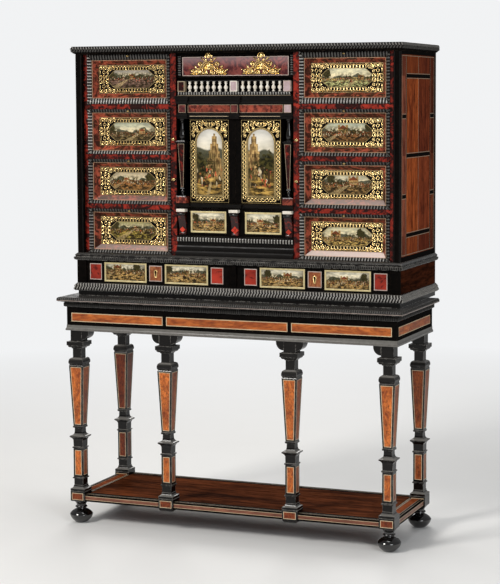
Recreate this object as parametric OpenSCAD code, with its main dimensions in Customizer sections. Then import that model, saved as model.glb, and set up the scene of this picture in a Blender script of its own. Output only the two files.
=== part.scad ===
// Cabinet on stand: an ebonised case of drawers with a two-door middle section,
// on a six-legged stand with a low shelf. Millimetres, Z up, front faces -Y.
// The origin is on the floor, in the middle of the overall width and depth.

/* [Overall] */
// Depth from the front edge of the stand top to the back of the case
total_d = 470; // [440:5:520]
// Gap left at glued joints between separate boards
glue = 0.04; // [0.02:0.01:0.1]
// Running gap round each drawer front
gap = 0.8; // [0.5:0.1:1.5]
// Running gap under a drawer box
run_gap = 0.3; // [0.25:0.05:0.5]

/* [Stand] */
// Width over the apron boards
apron_w = 1150; // [1100:10:1250]
// Depth over the apron boards
apron_d = 375; // [350:5:400]
// Height of the stand's top surface
stand_h = 762; // [720:2:800]
// How far the edge moulding of the top stands out
top_proj = 25; // [15:1:30]
// Thickness of the stand top
top_t = 17; // [14:1:22]
// Height of the ripple frieze under the stand top
frieze_h = 16; // [12:1:20]
// How far the ripple frieze stands out
frieze_proj = 7; // [4:1:10]
// Height of the apron boards
apron_h = 112; // [98:2:122]
// Thickness of the apron boards
apron_t = 22; // [18:1:28]
// Height of the moulding at the foot of the apron
foot_mould_h = 18; // [12:1:22]
// Height of the inlaid apron panels
panel_h = 29; // [22:1:34]
// Height of the inlaid panels above the foot of the apron
panel_up = 30; // [24:1:36]
// Depth of every inlay
inlay_t = 1.2; // [0.8:0.1:2]
// Ebony left between two apron panels
panel_gap = 13; // [8:1:20]

/* [Legs] */
// Half width of the shaft at its top
shaft_top = 25.5; // [23:0.5:28]
// Half width of the shaft at its foot
shaft_foot = 16.5; // [14:0.5:19]
// Half width of the corner block
block_half = 26; // [22:0.5:28]
// Distance from the middle to the inner legs
inner_x = 218; // [190:2:250]
// Height of the moulded head above the tapered shaft
head_h = 119; // [105:1:135]
// Height of the neck between the lower die and the tapered shaft
neck_h = 76; // [70:1:90]
// Half width of the lower die
die_half = 17.5; // [15:0.5:20]
// Height of the lower die
die_h = 96; // [80:1:110]
// Height of the moulded base under the lower die
die_base_h = 48; // [42:1:56]
// Height of the corner block
block_h = 34; // [30:1:40]
// Height of a foot
foot_h = 74; // [68:1:84]
// Largest radius of a foot
foot_r = 37; // [32:0.5:42]

/* [Shelf] */
// Depth of the shelf's top below the top of the corner blocks
shelf_down = 9; // [4:1:14]
// Height of the shelf rails
rail_h = 24; // [18:1:28]
// Thickness of the shelf board
shelf_t = 14; // [10:1:18]
// Width of the shelf's end rails
end_rail_w = 52; // [40:1:60]
// Width of the shelf's front and back rails
front_rail_w = 30; // [20:1:40]

/* [Case] */
// Width over the corner posts
case_w = 1128; // [1080:4:1200]
// Depth of the case
case_d = 382; // [350:2:400]
// Thickness of the case sides
side_t = 23; // [18:1:28]
// Thickness of the drawer guides beside the banks
guide_t = 14; // [10:1:16]
// Thickness of the back board
back_t = 12; // [8:1:14]
// Distance of the drawer frames behind the corner posts
frame_set = 12; // [8:1:16]
// How far the cornice stands out
cornice_proj = 11; // [8:1:16]
// Height of the cornice
cornice_h = 24; // [18:1:30]
// Height of the side inlay above the plinth moulding
side_panel_margin = 16; // [12:1:20]

/* [Plinth tier] */
// Height of the plain band under the ripple moulding
band_h = 16; // [12:1:20]
// Height of the large ripple moulding
ripple_h = 26; // [20:1:30]
// How far the large ripple moulding stands out
ripple_proj = 9; // [6:1:12]
// Height of the plinth tier
tier_h = 76; // [66:1:86]
// Height of the moulding on top of the plinth tier
tier_mould_h = 24; // [20:1:28]
// Width of a corner pilaster
pilaster_w = 36; // [28:1:40]
// Width of the middle pilaster
mid_pilaster_w = 26; // [20:1:32]
// Thickness of the plinth drawer fronts
plinth_front_t = 14; // [10:1:18]

/* [Side drawers] */
// Rows of drawers in a bank
rows = 4; // [4:1:4]
// Height of a common drawer opening
row_h = 148.5; // [140:0.5:152]
// Extra height of the top row
top_extra = 15; // [0:1:20]
// Thickness of the rails between the drawers
rail_t = 16; // [12:1:18]
// Width of a bank's opening
bank_w = 302; // [290:2:310]
// Width of the flat ripple band round a drawer front
band_w = 14; // [10:1:18]
// How far the ripple band falls back towards the recess
band_fall = 4; // [2:0.5:6]
// Width of the tortoiseshell slope inside the band
slope_w = 16; // [12:1:20]
// Depth of the recess that holds the mount
recess = 25; // [18:1:28]
// Thickness of the panel behind the recess
front_t = 12; // [10:1:14]
// Thickness of a drawer side
box_t = 9; // [7:1:12]
// Thickness of a drawer bottom
bottom_t = 6; // [4:1:8]
// Thickness of a gilt mount
mount_t = 2; // [1.5:0.1:3]

/* [Middle section] */
// Thickness of the partitions
part_t = 20; // [16:1:22]
// Height of the stepped mouldings at the bottom
step_h = 66; // [60:1:72]
// Height of the lower drawer's opening
low_h = 90; // [80:1:100]
// Height of the moulding under the doors
sill_h = 16; // [14:1:20]
// Height of the lintel, frieze and black cornice over the doors
ent_h = 74; // [68:1:84]
// Thickness of a door
door_t = 20; // [16:1:22]
// Distance of the door faces behind the corner posts
door_set = 23; // [20:1:28]
// Radius of the door pins
pin_r = 2.5; // [2:0.1:3]
// Radial clearance of the door pins
pin_clear = 0.06; // [0.03:0.01:0.1]
// Length of a door pin inside the door
pin_len = 12; // [8:1:16]
// Height of the balustrade
bal_h = 50; // [44:1:56]
// Balusters on each side of the middle pedestal
bal_count = 7; // [5:1:8]
// Height of the top drawer's opening
top_h = 80; // [70:1:90]
// Half width of a column pier
pier_half = 18; // [16:0.5:19]

/* [Hidden] */

// Main planes
y_front = -total_d / 2;
y_back = total_d / 2;
apron_x = apron_w / 2;
apron_y0 = y_front + top_proj;
apron_y1 = apron_y0 + apron_d;
apron_z = stand_h - apron_h;
panel_z = apron_z + panel_up;
block_z0 = foot_h;
block_z1 = block_z0 + block_h;
die_z0 = block_z1 + die_base_h;
die_z1 = die_z0 + die_h;
shaft_z0 = die_z1 + neck_h;
shaft_z1 = apron_z - head_h;
shelf_z = block_z1 - shelf_down;
leg_x = apron_x - 6 - block_half;
leg_y0 = apron_y0 - 4 + block_half;
leg_y1 = apron_y1 - 2 - block_half;
case_x = case_w / 2;
case_y0 = y_back - case_d;
back_y = y_back - back_t;
base_z = stand_h;
band_z = base_z + band_h;
tier_z0 = band_z + ripple_h;
tier_z1 = tier_z0 + tier_h;
floor_t = 16;
floor_z1 = tier_z1 + tier_mould_h;
floor_z0 = floor_z1 - floor_t;
top_t2 = 14;
cap_t = 12;
top_z = floor_z1 + rows * row_h + (rows - 1) * rail_t + top_extra;
case_top = top_z + top_t2 + cap_t;
bank_x1 = case_x - side_t - guide_t;
bank_x0 = bank_x1 - bank_w;
part_x1 = bank_x0;
part_x0 = part_x1 - part_t;
frame_y = case_y0 + frame_set;
strip_t = 2;
strip_y = frame_y + 1;
rail_y0 = strip_y + strip_t + glue;
door_y = case_y0 + door_set;
low_z0 = floor_z1 + step_h;
low_z1 = low_z0 + low_h;
door_z0 = low_z1 + sill_h;
top_z0 = top_z - top_h;
bal_z1 = top_z0 - 7;
bal_z0 = bal_z1 - bal_h;
door_z1 = bal_z0 - ent_h;
door_x = part_x0 - 2 * pier_half - 9;

function row_z(k) = floor_z1 + k * (row_h + rail_t);
function row_top(k) = k < rows - 1 ? row_z(k) + row_h : top_z;

ebony = "#17120f";
red_shell = "#8a1f17";
burl = "#c8662a";
brown = "#5b2b1b";
gilt = "#c9a24a";
oak = "#6d4a2f";
black = "#0c0b0b";

// Box from two corners
module slab(x0, x1, y0, y1, z0, z1) {
    translate([x0, y0, z0])
        cube([x1 - x0, y1 - y0, z1 - z0]);
}

// A slab and its mirror image across the middle
module pair(x0, x1, y0, y1, z0, z1) {
    slab(x0, x1, y0, y1, z0, z1);
    slab(-x1, -x0, y0, y1, z0, z1);
}

// Both sides of the middle plane
module both() {
    children();
    mirror([1, 0, 0]) children();
}

// Outline in X and Z pushed along Y
module along_y(y0, y1) {
    translate([0, y1, 0])
        rotate([90, 0, 0])
            linear_extrude(height = y1 - y0)
                children();
}

// Outline in Y and Z pushed along X
module along_x(x0, x1) {
    translate([x0, 0, 0])
        rotate([90, 0, 90])
            linear_extrude(height = x1 - x0)
                children();
}

// Profile points run upwards as [projection, height]
function flip(p) = [for (i = [len(p) - 1:-1:0]) p[i]];
function widest(p) = max([for (q = p) q[0]]);

// Solid slab whose front and end edges carry a moulding, mitred at the corners
module moulded_slab(p, x, y0, y1) {
    m = widest(p) + 1;
    intersection() {
        along_y(y0 - m, y1)
            polygon(concat([for (q = p) [x + q[0], q[1]]],
                [for (q = flip(p)) [-x - q[0], q[1]]]));
        along_x(-x - m, x + m)
            polygon(concat([for (q = flip(p)) [y0 - q[0], q[1]]],
                [[y1, p[0][1]], [y1, p[len(p) - 1][1]]]));
    }
}

// The moulded edge only: a front length and two end lengths, mitred at the corners
module moulded_edge(p, x, y0, y1, inner) {
    m = widest(p) + 1;
    z0 = p[0][1] - 1;
    z1 = p[len(p) - 1][1] + 1;
    intersection() {
        moulded_slab(p, x, y0, y1);
        slab(-x - m, x + m, y0 - m, y0 + inner, z0, z1);
    }
    both()
        intersection() {
            moulded_slab(p, x, y0, y1);
            slab(x - inner, x + m, y0 + inner + glue, y1 + 1, z0, z1);
        }
}

// Square moulded post from a profile of [half width, height]
module post(p, cx, cy) {
    w = widest(p) + 1;
    translate([cx, cy, 0])
        intersection() {
            along_y(-w, w)
                polygon(concat([for (q = p) [q[0], q[1]]], [for (q = flip(p)) [-q[0], q[1]]]));
            along_x(-w, w)
                polygon(concat([for (q = p) [q[0], q[1]]], [for (q = flip(p)) [-q[0], q[1]]]));
        }
}

// Points of a quarter curve between two profile points; bulge 1 hollow, -1 round
function curve(a, b, bulge, n) = [for (i = [0:n])
    let (t = i * 90 / n)
    bulge > 0
        ? [a[0] + (b[0] - a[0]) * (1 - cos(t)), a[1] + (b[1] - a[1]) * sin(t)]
        : [a[0] + (b[0] - a[0]) * sin(t), a[1] + (b[1] - a[1]) * (1 - cos(t))]];

/* Legs */

leg_top = apron_z - glue;
leg_cap_z = shaft_z1 + 82;
leg_profile = concat(
    [[block_half - 1, block_z0], [block_half, block_z0 + 2], [block_half, block_z1 - 1]],
    [[block_half - 1, block_z1], [block_half, block_z1 + 1], [block_half, block_z1 + 8]],
    curve([block_half - 1, block_z1 + 9], [die_half, block_z1 + 19], -1, 4),
    [[die_half - 1, block_z1 + 20], [die_half - 1, die_z0 - 6]],
    [[die_half + 2.5, die_z0 - 6], [die_half + 2.5, die_z0 - 2], [die_half, die_z0 - 2]],
    [[die_half, die_z1], [die_half + 2.5, die_z1 + 1], [die_half + 2.5, die_z1 + 5]],
    [[die_half - 0.5, die_z1 + 6], [die_half, shaft_z0 - 48]],
    [[die_half + 3, shaft_z0 - 42], [shaft_foot + 10, shaft_z0 - 37], [shaft_foot + 10, shaft_z0 - 34]],
    curve([shaft_foot + 9, shaft_z0 - 33], [shaft_foot - 2.5, shaft_z0 - 21], -1, 4),
    [[shaft_foot - 3, shaft_z0 - 8], [shaft_foot + 1.5, shaft_z0 - 6], [shaft_foot + 1.5, shaft_z0 - 1]],
    [[shaft_foot, shaft_z0], [shaft_top, shaft_z1]],
    [[shaft_top - 1, shaft_z1 + 2], [shaft_top - 1, shaft_z1 + 6], [shaft_top + 1, shaft_z1 + 8]],
    [[shaft_top + 1.5, shaft_z1 + 14]],
    curve([shaft_top + 0.5, shaft_z1 + 18], [shaft_top - 9.5, shaft_z1 + 27], 1, 3),
    [[shaft_top - 10, shaft_z1 + 29], [shaft_top - 10, shaft_z1 + 57]],
    [[shaft_top - 7, shaft_z1 + 58], [shaft_top - 7, shaft_z1 + 61]],
    curve([shaft_top - 5, shaft_z1 + 61], [shaft_top + 2, shaft_z1 + 68], -1, 3),
    [[shaft_top + 5, shaft_z1 + 69], [shaft_top + 5, leg_cap_z]],
    [[shaft_top - 5, leg_cap_z], [shaft_top - 5, leg_top]]
);

inner_profile = concat([[block_half - 6, block_z0 - 8], [block_half - 2, block_z0 - 4]], leg_profile);

// Half width of the shaft at a height
function shaft_at(z) = shaft_foot + (shaft_top - shaft_foot) * (z - shaft_z0) / (shaft_z1 - shaft_z0);

// Ebony left round a leg's panels
leg_margin = 5;

module shaft_outline(s) {
    z0 = shaft_z0 + 5;
    z1 = shaft_z1 - 4;
    a = shaft_at(z0) - leg_margin;
    b = shaft_at(z1) - leg_margin;
    polygon([[-a, z0], [a, z0], [b, z1], [-b, z1]]);
}

module die_outline() {
    d = die_half - leg_margin - 0.5;
    polygon([[-d, die_z0 + 6], [d, die_z0 + 6], [d, die_z1 - 6], [-d, die_z1 - 6]]);
}

module block_outline() {
    d = block_half - leg_margin;
    polygon([[-d, block_z0 + 5], [d, block_z0 + 5], [d, block_z1 - 6], [-d, block_z1 - 6]]);
}

// The thin layer on the four faces of a post
module face_layer(p) {
    q = [for (v = p) [v[0] - inlay_t, v[1]]];
    difference() {
        post(p, 0, 0);
        post(concat([[q[0][0], q[0][1] - 1]], q, [[q[len(q) - 1][0], q[len(q) - 1][1] + 1]]), 0, 0);
    }
}

module inlay_bars() {
    for (a = [0, 90])
        rotate([0, 0, a]) {
            along_y(-60, 60) shaft_outline();
            along_y(-60, 60) die_outline();
        }
}

// Panels let into a leg's shaft and lower die
module leg_inlay_set() {
    intersection() {
        union() {
            face_layer([[shaft_foot, shaft_z0], [shaft_top, shaft_z1]]);
            face_layer([[die_half, die_z0], [die_half, die_z1]]);
        }
        inlay_bars();
    }
}

// Panel let into the front of a leg's block
module block_inlay() {
    intersection() {
        slab(-block_half, block_half, -block_half, -block_half + inlay_t, block_z0, block_z1);
        along_y(-60, 0) block_outline();
    }
}

module leg(cx, cy, p) {
    color(ebony)
        difference() {
            post(p, cx, cy);
            translate([cx, cy, 0]) {
                leg_inlay_set();
                block_inlay();
            }
        }
}

leg_places = [[-leg_x, leg_y0], [-inner_x, leg_y0], [inner_x, leg_y0], [leg_x, leg_y0],
    [-leg_x, leg_y1], [leg_x, leg_y1]];

module leg_front_left() { leg(-leg_x, leg_y0, leg_profile); }
module leg_inner_left() { leg(-inner_x, leg_y0, inner_profile); }
module leg_inner_right() { leg(inner_x, leg_y0, inner_profile); }
module leg_front_right() { leg(leg_x, leg_y0, leg_profile); }
module leg_back_left() { leg(-leg_x, leg_y1, leg_profile); }
module leg_back_right() { leg(leg_x, leg_y1, leg_profile); }

module leg_inlays() {
    color(burl)
        for (p = leg_places)
            translate([p[0], p[1], 0]) {
                leg_inlay_set();
                block_inlay();
            }
}

// Turned foot: spread under the block, neck, ring and flattened double cone
module feet() {
    color(black)
        for (x = [-leg_x, leg_x], y = [leg_y0, leg_y1])
            translate([x, y, 0])
                rotate_extrude($fn = 48)
                    polygon(concat(
                        [[0, 0], [16, 0], [18, 2]],
                        [for (t = [0:5]) [18 + (foot_r - 18) * sin(t * 16), 2 + 22 * t / 5]],
                        [[foot_r, 25], [foot_r, 27]],
                        [for (t = [5:-1:0]) [17 + (foot_r - 19) * sin(t * 16), 28 + 17 * (5 - t) / 5]],
                        [[14, 46], [14, 49], [19, 51], [20, 53], [19, 56], [16, 57]],
                        curve([16, 58], [24, block_z0 - 2], -1, 4),
                        [[24, block_z0 - glue], [0, block_z0 - glue]]));
}

// Concave bracket beside a leg, against the underside of the apron moulding
bracket_w = 26;
bracket_h = 30;
bracket_z = apron_z - glue;
module bracket_at(cx, cy, side) {
    half = shaft_top - 5;
    translate([cx, 0, 0])
        scale([side, 1, 1])
            along_y(cy - half, cy + half)
                polygon(concat(
                    [[half + glue, bracket_z], [half + glue, bracket_z - bracket_h]],
                    curve([half + 1, bracket_z - bracket_h], [half + bracket_w, bracket_z - 4], -1, 6),
                    [[half + bracket_w, bracket_z]]));
}

module leg_brackets() {
    color(black) {
        bracket_at(-leg_x, leg_y0, 1);
        bracket_at(leg_x, leg_y0, -1);
        bracket_at(-leg_x, leg_y1, 1);
        bracket_at(leg_x, leg_y1, -1);
        for (x = [-inner_x, inner_x], s = [-1, 1])
            bracket_at(x, leg_y0, s);
    }
}

/* Shelf */

shelf_y0 = leg_y0 - block_half + 5;
shelf_y1 = leg_y1 + block_half - 4;
shelf_x = leg_x + block_half - 5;

// Room cut round a leg block
module block_room(cx, cy) {
    c = block_half + glue;
    slab(cx - c, cx + c, cy - c, cy + c, block_z0 - 20, block_z1 + 20);
}

module shelf_board() {
    color(brown)
        difference() {
            slab(-shelf_x + end_rail_w + glue, shelf_x - end_rail_w - glue,
                shelf_y0 + front_rail_w + glue, shelf_y1 - front_rail_w - glue,
                shelf_z - shelf_t, shelf_z);
            for (x = [-inner_x, inner_x])
                block_room(x, leg_y0);
        }
}

module shelf_rails() {
    z0 = shelf_z - rail_h;
    color("#3b1d14")
        difference() {
            union() {
                pair(shelf_x - end_rail_w, shelf_x, shelf_y0, shelf_y1, z0, shelf_z);
                slab(-shelf_x + end_rail_w + glue, shelf_x - end_rail_w - glue,
                    shelf_y0, shelf_y0 + front_rail_w, z0, shelf_z);
                slab(-shelf_x + end_rail_w + glue, shelf_x - end_rail_w - glue,
                    shelf_y1 - front_rail_w, shelf_y1, z0, shelf_z);
            }
            for (p = leg_places)
                block_room(p[0], p[1]);
        }
}

/* Apron */

apron_z1 = stand_h - top_t - glue;
in_x = apron_x - apron_t;

// Left and right ends of the three front panels
front_panels = [
    [-apron_x + 17, -inner_x - panel_gap / 2],
    [-inner_x + panel_gap / 2, inner_x - panel_gap / 2],
    [inner_x + panel_gap / 2, apron_x - 17]];

module front_panel_solids() {
    for (p = front_panels)
        slab(p[0], p[1], apron_y0, apron_y0 + inlay_t, panel_z, panel_z + panel_h);
}

module end_panel_solids() {
    pair(apron_x - inlay_t, apron_x, apron_y0 + 17, apron_y1 - 24, panel_z, panel_z + panel_h);
}

module apron() {
    color(ebony) {
        difference() {
            slab(-apron_x, apron_x, apron_y0, apron_y0 + apron_t, apron_z, apron_z1);
            front_panel_solids();
            end_panel_solids();
        }
        difference() {
            pair(in_x, apron_x, apron_y0 + apron_t + glue, apron_y1 - apron_t - glue, apron_z, apron_z1);
            end_panel_solids();
        }
        difference() {
            slab(-apron_x, apron_x, apron_y1 - apron_t, apron_y1, apron_z, apron_z1);
            end_panel_solids();
        }
        slab(-14, 14, apron_y0 + apron_t + glue, apron_y1 - apron_t - glue, apron_z1 - 50, apron_z1);
    }
}

module apron_panels() {
    color(burl) {
        front_panel_solids();
        end_panel_solids();
    }
}

// Rounded moulding planted on the foot of the apron
module apron_moulding() {
    p = concat([[glue, apron_z], [4, apron_z], [4, apron_z + 4]],
        curve([4.5, apron_z + 5], [1, apron_z + foot_mould_h - 3], -1, 3),
        [[1, apron_z + foot_mould_h], [glue, apron_z + foot_mould_h]]);
    color(ebony) {
        planted(p, apron_x, apron_y0, apron_y1);
    }
}

// Moulding planted on the face of a body: front and two ends, open inside
module planted(p, x, y0, y1) {
    m = widest(p) + 1;
    z0 = p[0][1] - 1;
    z1 = p[len(p) - 1][1] + 1;
    difference() {
        moulded_slab(p, x, y0, y1);
        slab(-x - m, x + m, y0 - glue, y1 + 1, z0, z1);
    }
    both()
        difference() {
            moulded_slab(p, x, y0, y1);
            slab(-x - m, x + glue, y0 - m, y1 + 1, z0, z1);
            slab(-x - m, x + m, y0 - m, y0, z0, z1);
        }
}

// Stand top: the board with its stepped edge, the frieze is planted below it
module stand_top() {
    z0 = stand_h - top_t;
    p = concat([[10, z0], [14, z0 + 1]],
        curve([15, z0 + 2], [top_proj - 1, z0 + 5], -1, 3),
        [[top_proj, z0 + 5], [top_proj, z0 + 9]],
        curve([top_proj - 2, z0 + 10], [top_proj - 6, stand_h], 1, 3));
    f0 = z0 - frieze_h - glue;
    f = [[glue, f0], [frieze_proj - 3, f0], [frieze_proj, f0 + 4], [frieze_proj, z0 - 4],
        [frieze_proj - 2, z0 - glue], [glue, z0 - glue]];
    color(ebony) {
        moulded_slab(p, apron_x, apron_y0, apron_y1);
        planted(f, apron_x, apron_y0, apron_y1);
    }
}

/* Base and plinth tier of the case */

module case_base() {
    p = concat([[0, base_z], [0, band_z], [ripple_proj, band_z], [ripple_proj, band_z + 4]],
        curve([ripple_proj, band_z + 5], [1, tier_z0], 1, 4));
    color(ebony) {
        moulded_edge(p, case_x, case_y0, y_back, 24);
        slab(-case_x + 24 + glue, case_x - 24 - glue, back_y - 8, y_back, base_z, tier_z0);
        slab(-case_x + 24 + glue, case_x - 24 - glue, case_y0 + 24 + glue, back_y - 8 - glue,
            tier_z0 - 14, tier_z0);
    }
}

pd_x1 = case_x + 2 - pilaster_w;
pd_x0 = mid_pilaster_w / 2;
plinth_y0 = case_y0 + 2;

module plinth_case() {
    z0 = tier_z0 + glue;
    z1 = tier_z1 - glue;
    color(ebony) {
        pair(case_x - 16, case_x, plinth_y0, back_y - glue, z0, z1);
        pair(pd_x1, case_x - 16 - glue, plinth_y0 + 1, plinth_y0 + 20, z0, z1);
        pair(pd_x1, case_x - 16 - glue, plinth_y0 + 20 + glue, back_y - glue, z0, z0 + 40);
        slab(-pd_x0, pd_x0, plinth_y0 + 1, back_y - glue, z0, z1);
        slab(-case_x, case_x, back_y, y_back, z0, z1);
        pair(pd_x1 + 3, case_x + 2, plinth_y0 - 5, plinth_y0 - glue, z0, z1);
        slab(-pd_x0 + 3, pd_x0 - 3, plinth_y0 - 5, plinth_y0 + 1 - glue, z0, z1);
    }
}

// Small ripple moulding on top of the plinth tier
module plinth_moulding() {
    p = concat([[2, tier_z1], [6, tier_z1]],
        curve([6, tier_z1 + 1], [10, tier_z1 + 7], -1, 3),
        [[10, tier_z1 + 11], [6, tier_z1 + 12], [7.5, tier_z1 + 15], [7.5, tier_z1 + 18],
        [3, tier_z1 + tier_mould_h - 2], [0, floor_z1]]);
    color(ebony)
        moulded_edge(p, case_x, case_y0, y_back, 12);
}

module case_floor() {
    color(ebony)
        slab(-case_x + 12 + glue, case_x - 12 - glue, case_y0 + 12 + glue, y_back, floor_z0, floor_z1 - glue);
}

/* Upper case */

panel_z0 = floor_z1 + side_panel_margin;
panel_z1 = top_z - 11;

module side_panel_solids() {
    pair(case_x - inlay_t - 0.4, case_x, case_y0 + 13, y_back - 20, panel_z0, panel_z1);
}

module case_side(s) {
    color(ebony)
        scale([s, 1, 1]) {
            difference() {
                slab(case_x - side_t, case_x, case_y0, back_y - glue, floor_z1, top_z - glue);
                side_panel_solids();
            }
            slab(bank_x1, case_x - side_t - glue, rail_y0, back_y - glue, floor_z1, top_z - glue);
        }
}

module case_side_left() { case_side(-1); }
module case_side_right() { case_side(1); }

module side_panels() {
    color(burl) side_panel_solids();
}

module case_back() {
    color(ebony)
        difference() {
            slab(-case_x, case_x, back_y, y_back, floor_z1, top_z - glue);
            side_panel_solids();
        }
}

module case_top_board() {
    color(ebony)
        slab(-case_x, case_x, case_y0, y_back, top_z, top_z + top_t2);
}

// Cornice: cap with a moulded edge that drops over the edge of the top board
module cornice() {
    z0 = case_top - cornice_h;
    p = concat([[0, z0], [3, z0]],
        curve([3, z0 + 1], [cornice_proj - 2, z0 + 11], -1, 4),
        [[cornice_proj, z0 + 12], [cornice_proj, z0 + 17], [cornice_proj - 2, z0 + 18],
        [cornice_proj - 2, case_top]]);
    color(ebony)
        difference() {
            moulded_slab(p, case_x, case_y0, y_back);
            slab(-case_x - glue, case_x + glue, case_y0 - glue, y_back + 1, z0 - 1, top_z + top_t2 + glue);
        }
}

board_t = 14;
x_in = part_x0 - glue;
low_board_z = low_z0 - 8;

// Board of the middle section, from a distance behind the door faces to the back
module mid_board(y, z0, z1) {
    slab(-x_in, x_in, door_y + y, back_y - glue, z0, z1);
}

module partitions() {
    color(ebony) {
        pair(part_x0, part_x1, rail_y0, back_y - glue, floor_z1, top_z - glue);
        mid_board(-4, floor_z1, floor_z1 + board_t);
        slab(-x_in, x_in, door_y - 4, door_y + board_t, floor_z1 + board_t + glue, low_board_z - glue);
        mid_board(-4, low_board_z, low_z0);
        difference() {
            mid_board(0, low_z1, door_z0);
            pin_holes();
        }
        difference() {
            mid_board(0, door_z1, door_z1 + board_t);
            pin_holes();
        }
        mid_board(12, top_z0 - 12, top_z0);
        slab(-x_in, x_in, door_y + 12, door_y + 24, door_z1 + board_t + glue, top_z0 - 12 - glue);
    }
}

module drawer_rails() {
    color(ebony)
        for (k = [0:rows - 2])
            pair(part_x1 + glue, bank_x1 - glue, rail_y0, back_y - glue, row_z(k) + row_h, row_z(k + 1));
}

// Tortoiseshell facing of the rails, guides and partitions
module red_strips() {
    color(red_shell) {
        for (k = [0:rows - 2])
            pair(part_x1 + glue, bank_x1 - glue, strip_y, strip_y + strip_t, row_z(k) + row_h, row_z(k + 1));
        pair(bank_x1, case_x - side_t - glue, strip_y, strip_y + strip_t, floor_z1 + glue, top_z - glue);
        pair(part_x0, part_x1, strip_y, strip_y + strip_t, floor_z1 + glue, top_z - glue);
    }
}

/* Entablature over the doors, and the balustrade */

// Breaks forward over the piers and in the middle
break_x = [-part_x0 + pier_half + 3, 0, part_x0 - pier_half - 3];

module moulding_run(p, y0, y1) {
    along_x(-part_x0 + glue, part_x0 - glue)
        polygon(concat([for (q = flip(p)) [y0 - q[0], q[1]]],
            [[y1, p[0][1]], [y1, p[len(p) - 1][1]]]));
}

module break_out(p, y0, y1, w) {
    m = widest(p) + 1;
    for (x = break_x)
        intersection() {
            translate([x, 0, 0])
                moulded_slab(p, w, y0, y1);
            slab(-part_x0 + glue, part_x0 - glue, y0 - m, y1, p[0][1] - 1, p[len(p) - 1][1] + 1);
        }
}

ent_p = concat(
    [[2, door_z1 + glue], [2, door_z1 + 6], [4, door_z1 + 8], [4, door_z1 + 16], [0, door_z1 + 18]],
    [[0, door_z1 + 46]],
    curve([1, door_z1 + 47], [7, door_z1 + 58], -1, 4),
    [[9, door_z1 + 60], [9, door_z1 + 66], [11, door_z1 + 67], [11, bal_z0]]);

// Moulding under the doors, broken forward under the piers
sill_p = concat([[glue, low_z1 + gap], [3, low_z1 + gap]],
    curve([3, low_z1 + 2], [9, low_z1 + 8], -1, 3),
    [[11, low_z1 + 9], [11, door_z0 - 2], [8, door_z0]]);

// Stepped mouldings under the lower drawer
step_a = (step_h - 22) * 0.4;
step_b = (step_h - 22) * 0.8;
step_p = concat([[18, floor_z1], [18, floor_z1 + 6]],
    curve([17, floor_z1 + 7], [11, floor_z1 + step_a], 1, 3),
    [[9, floor_z1 + step_a], [9, floor_z1 + step_a + 5]],
    curve([9, floor_z1 + step_a + 6], [5, floor_z1 + step_b], 1, 3),
    [[3, floor_z1 + step_b], [3, low_z0 - 21], [8, low_z0 - 20], [8, low_z0 - 2], [5, low_z0]]);

module middle_mouldings() {
    color(black) {
        difference() {
            union() {
                moulding_run(ent_p, door_y - 2, door_y + 12 - glue);
                break_out(ent_p, door_y - 8, door_y + 12 - glue, pier_half - 3);
            }
            slab(-part_x0, part_x0, door_y, door_y + 20, door_z1 - 1, door_z1 + board_t + glue);
        }
        moulding_run(sill_p, door_y, door_y - glue);
        break_out(sill_p, door_y - 8, door_y - glue, pier_half - 2);
        moulding_run(step_p, door_y - 4, door_y - 4 - glue);
    }
}

bal_y = door_y - 5;
bal_r = 4.5;

// Turned baluster: foot ring, long swelling vase, neck ring
module baluster() {
    rotate_extrude($fn = 20)
        polygon([[0, 0], [bal_r, 0], [bal_r, 3], [bal_r - 2, 4], [bal_r - 2, 7], [bal_r - 0.6, 14],
            [bal_r - 0.4, 18], [bal_r - 2.4, 26], [bal_r - 2.6, 31], [bal_r - 0.8, 34],
            [bal_r - 2, 36], [bal_r, 38], [bal_r, bal_h - 10], [0, bal_h - 10]]);
}

pedestal_half = 13;
bal_span = break_x[2] - 2 * pedestal_half;
bal_step = bal_span / bal_count;

module balustrade() {
    z0 = bal_z0 + glue;
    color(gilt)
        both()
            for (i = [0:bal_count - 1])
                translate([pedestal_half + (i + 0.5) * bal_step, bal_y, z0 + 2 + glue])
                    baluster();
    color(black) {
        slab(-break_x[2] + pedestal_half + glue, break_x[2] - pedestal_half - glue, bal_y - 6, bal_y + 6, z0, z0 + 2);
        both()
            slab(pedestal_half + glue, break_x[2] - pedestal_half - glue, bal_y - 6, bal_y + 6,
                z0 + bal_h - 8 + 3 * glue, z0 + bal_h - 1);
        for (x = break_x)
            translate([x, bal_y, 0])
                difference() {
                    union() {
                        slab(-pedestal_half, pedestal_half, -9, 9, z0 + 2 + glue, z0 + 6);
                        slab(-pedestal_half + 2, pedestal_half - 2, -7, 7, z0 + 6, z0 + bal_h - 6);
                        slab(-pedestal_half, pedestal_half, -9, 9, z0 + bal_h - 6, z0 + bal_h);
                    }
                    slab(-pedestal_half, pedestal_half, 7 - glue, 20, z0, z0 + bal_h + 1);
                }
    }
}

/* Piers beside the doors */

pier_x = part_x0 - pier_half - 1;
pier_y = door_y - 2;

pier_block_z = door_z0 + 20;
pier_herm_z = pier_block_z + 35;
pier_cap_z = door_z1 - 72;
pier_back = 4;

pier_herm = [[9, pier_herm_z + glue], [9, pier_herm_z + 3], [6.5, pier_herm_z + 4], [13, pier_cap_z - 16],
    [15, pier_cap_z - 14], [17, pier_cap_z - 10], [17, pier_cap_z]];

// Bell and ball between the pedestal and the shaft
module pier_bell() {
    h = pier_herm_z - pier_block_z - glue;
    translate([0, 0, pier_block_z + glue])
        rotate_extrude($fn = 40)
            polygon(concat([[0, 0], [15, 0]], curve([15, 2], [5, 16], 1, 4),
                [[5, 18], [8, 20], [9.5, 24], [9.5, 28], [7, 32], [5, 33], [5, h - glue], [0, h - glue]]));
}

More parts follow.
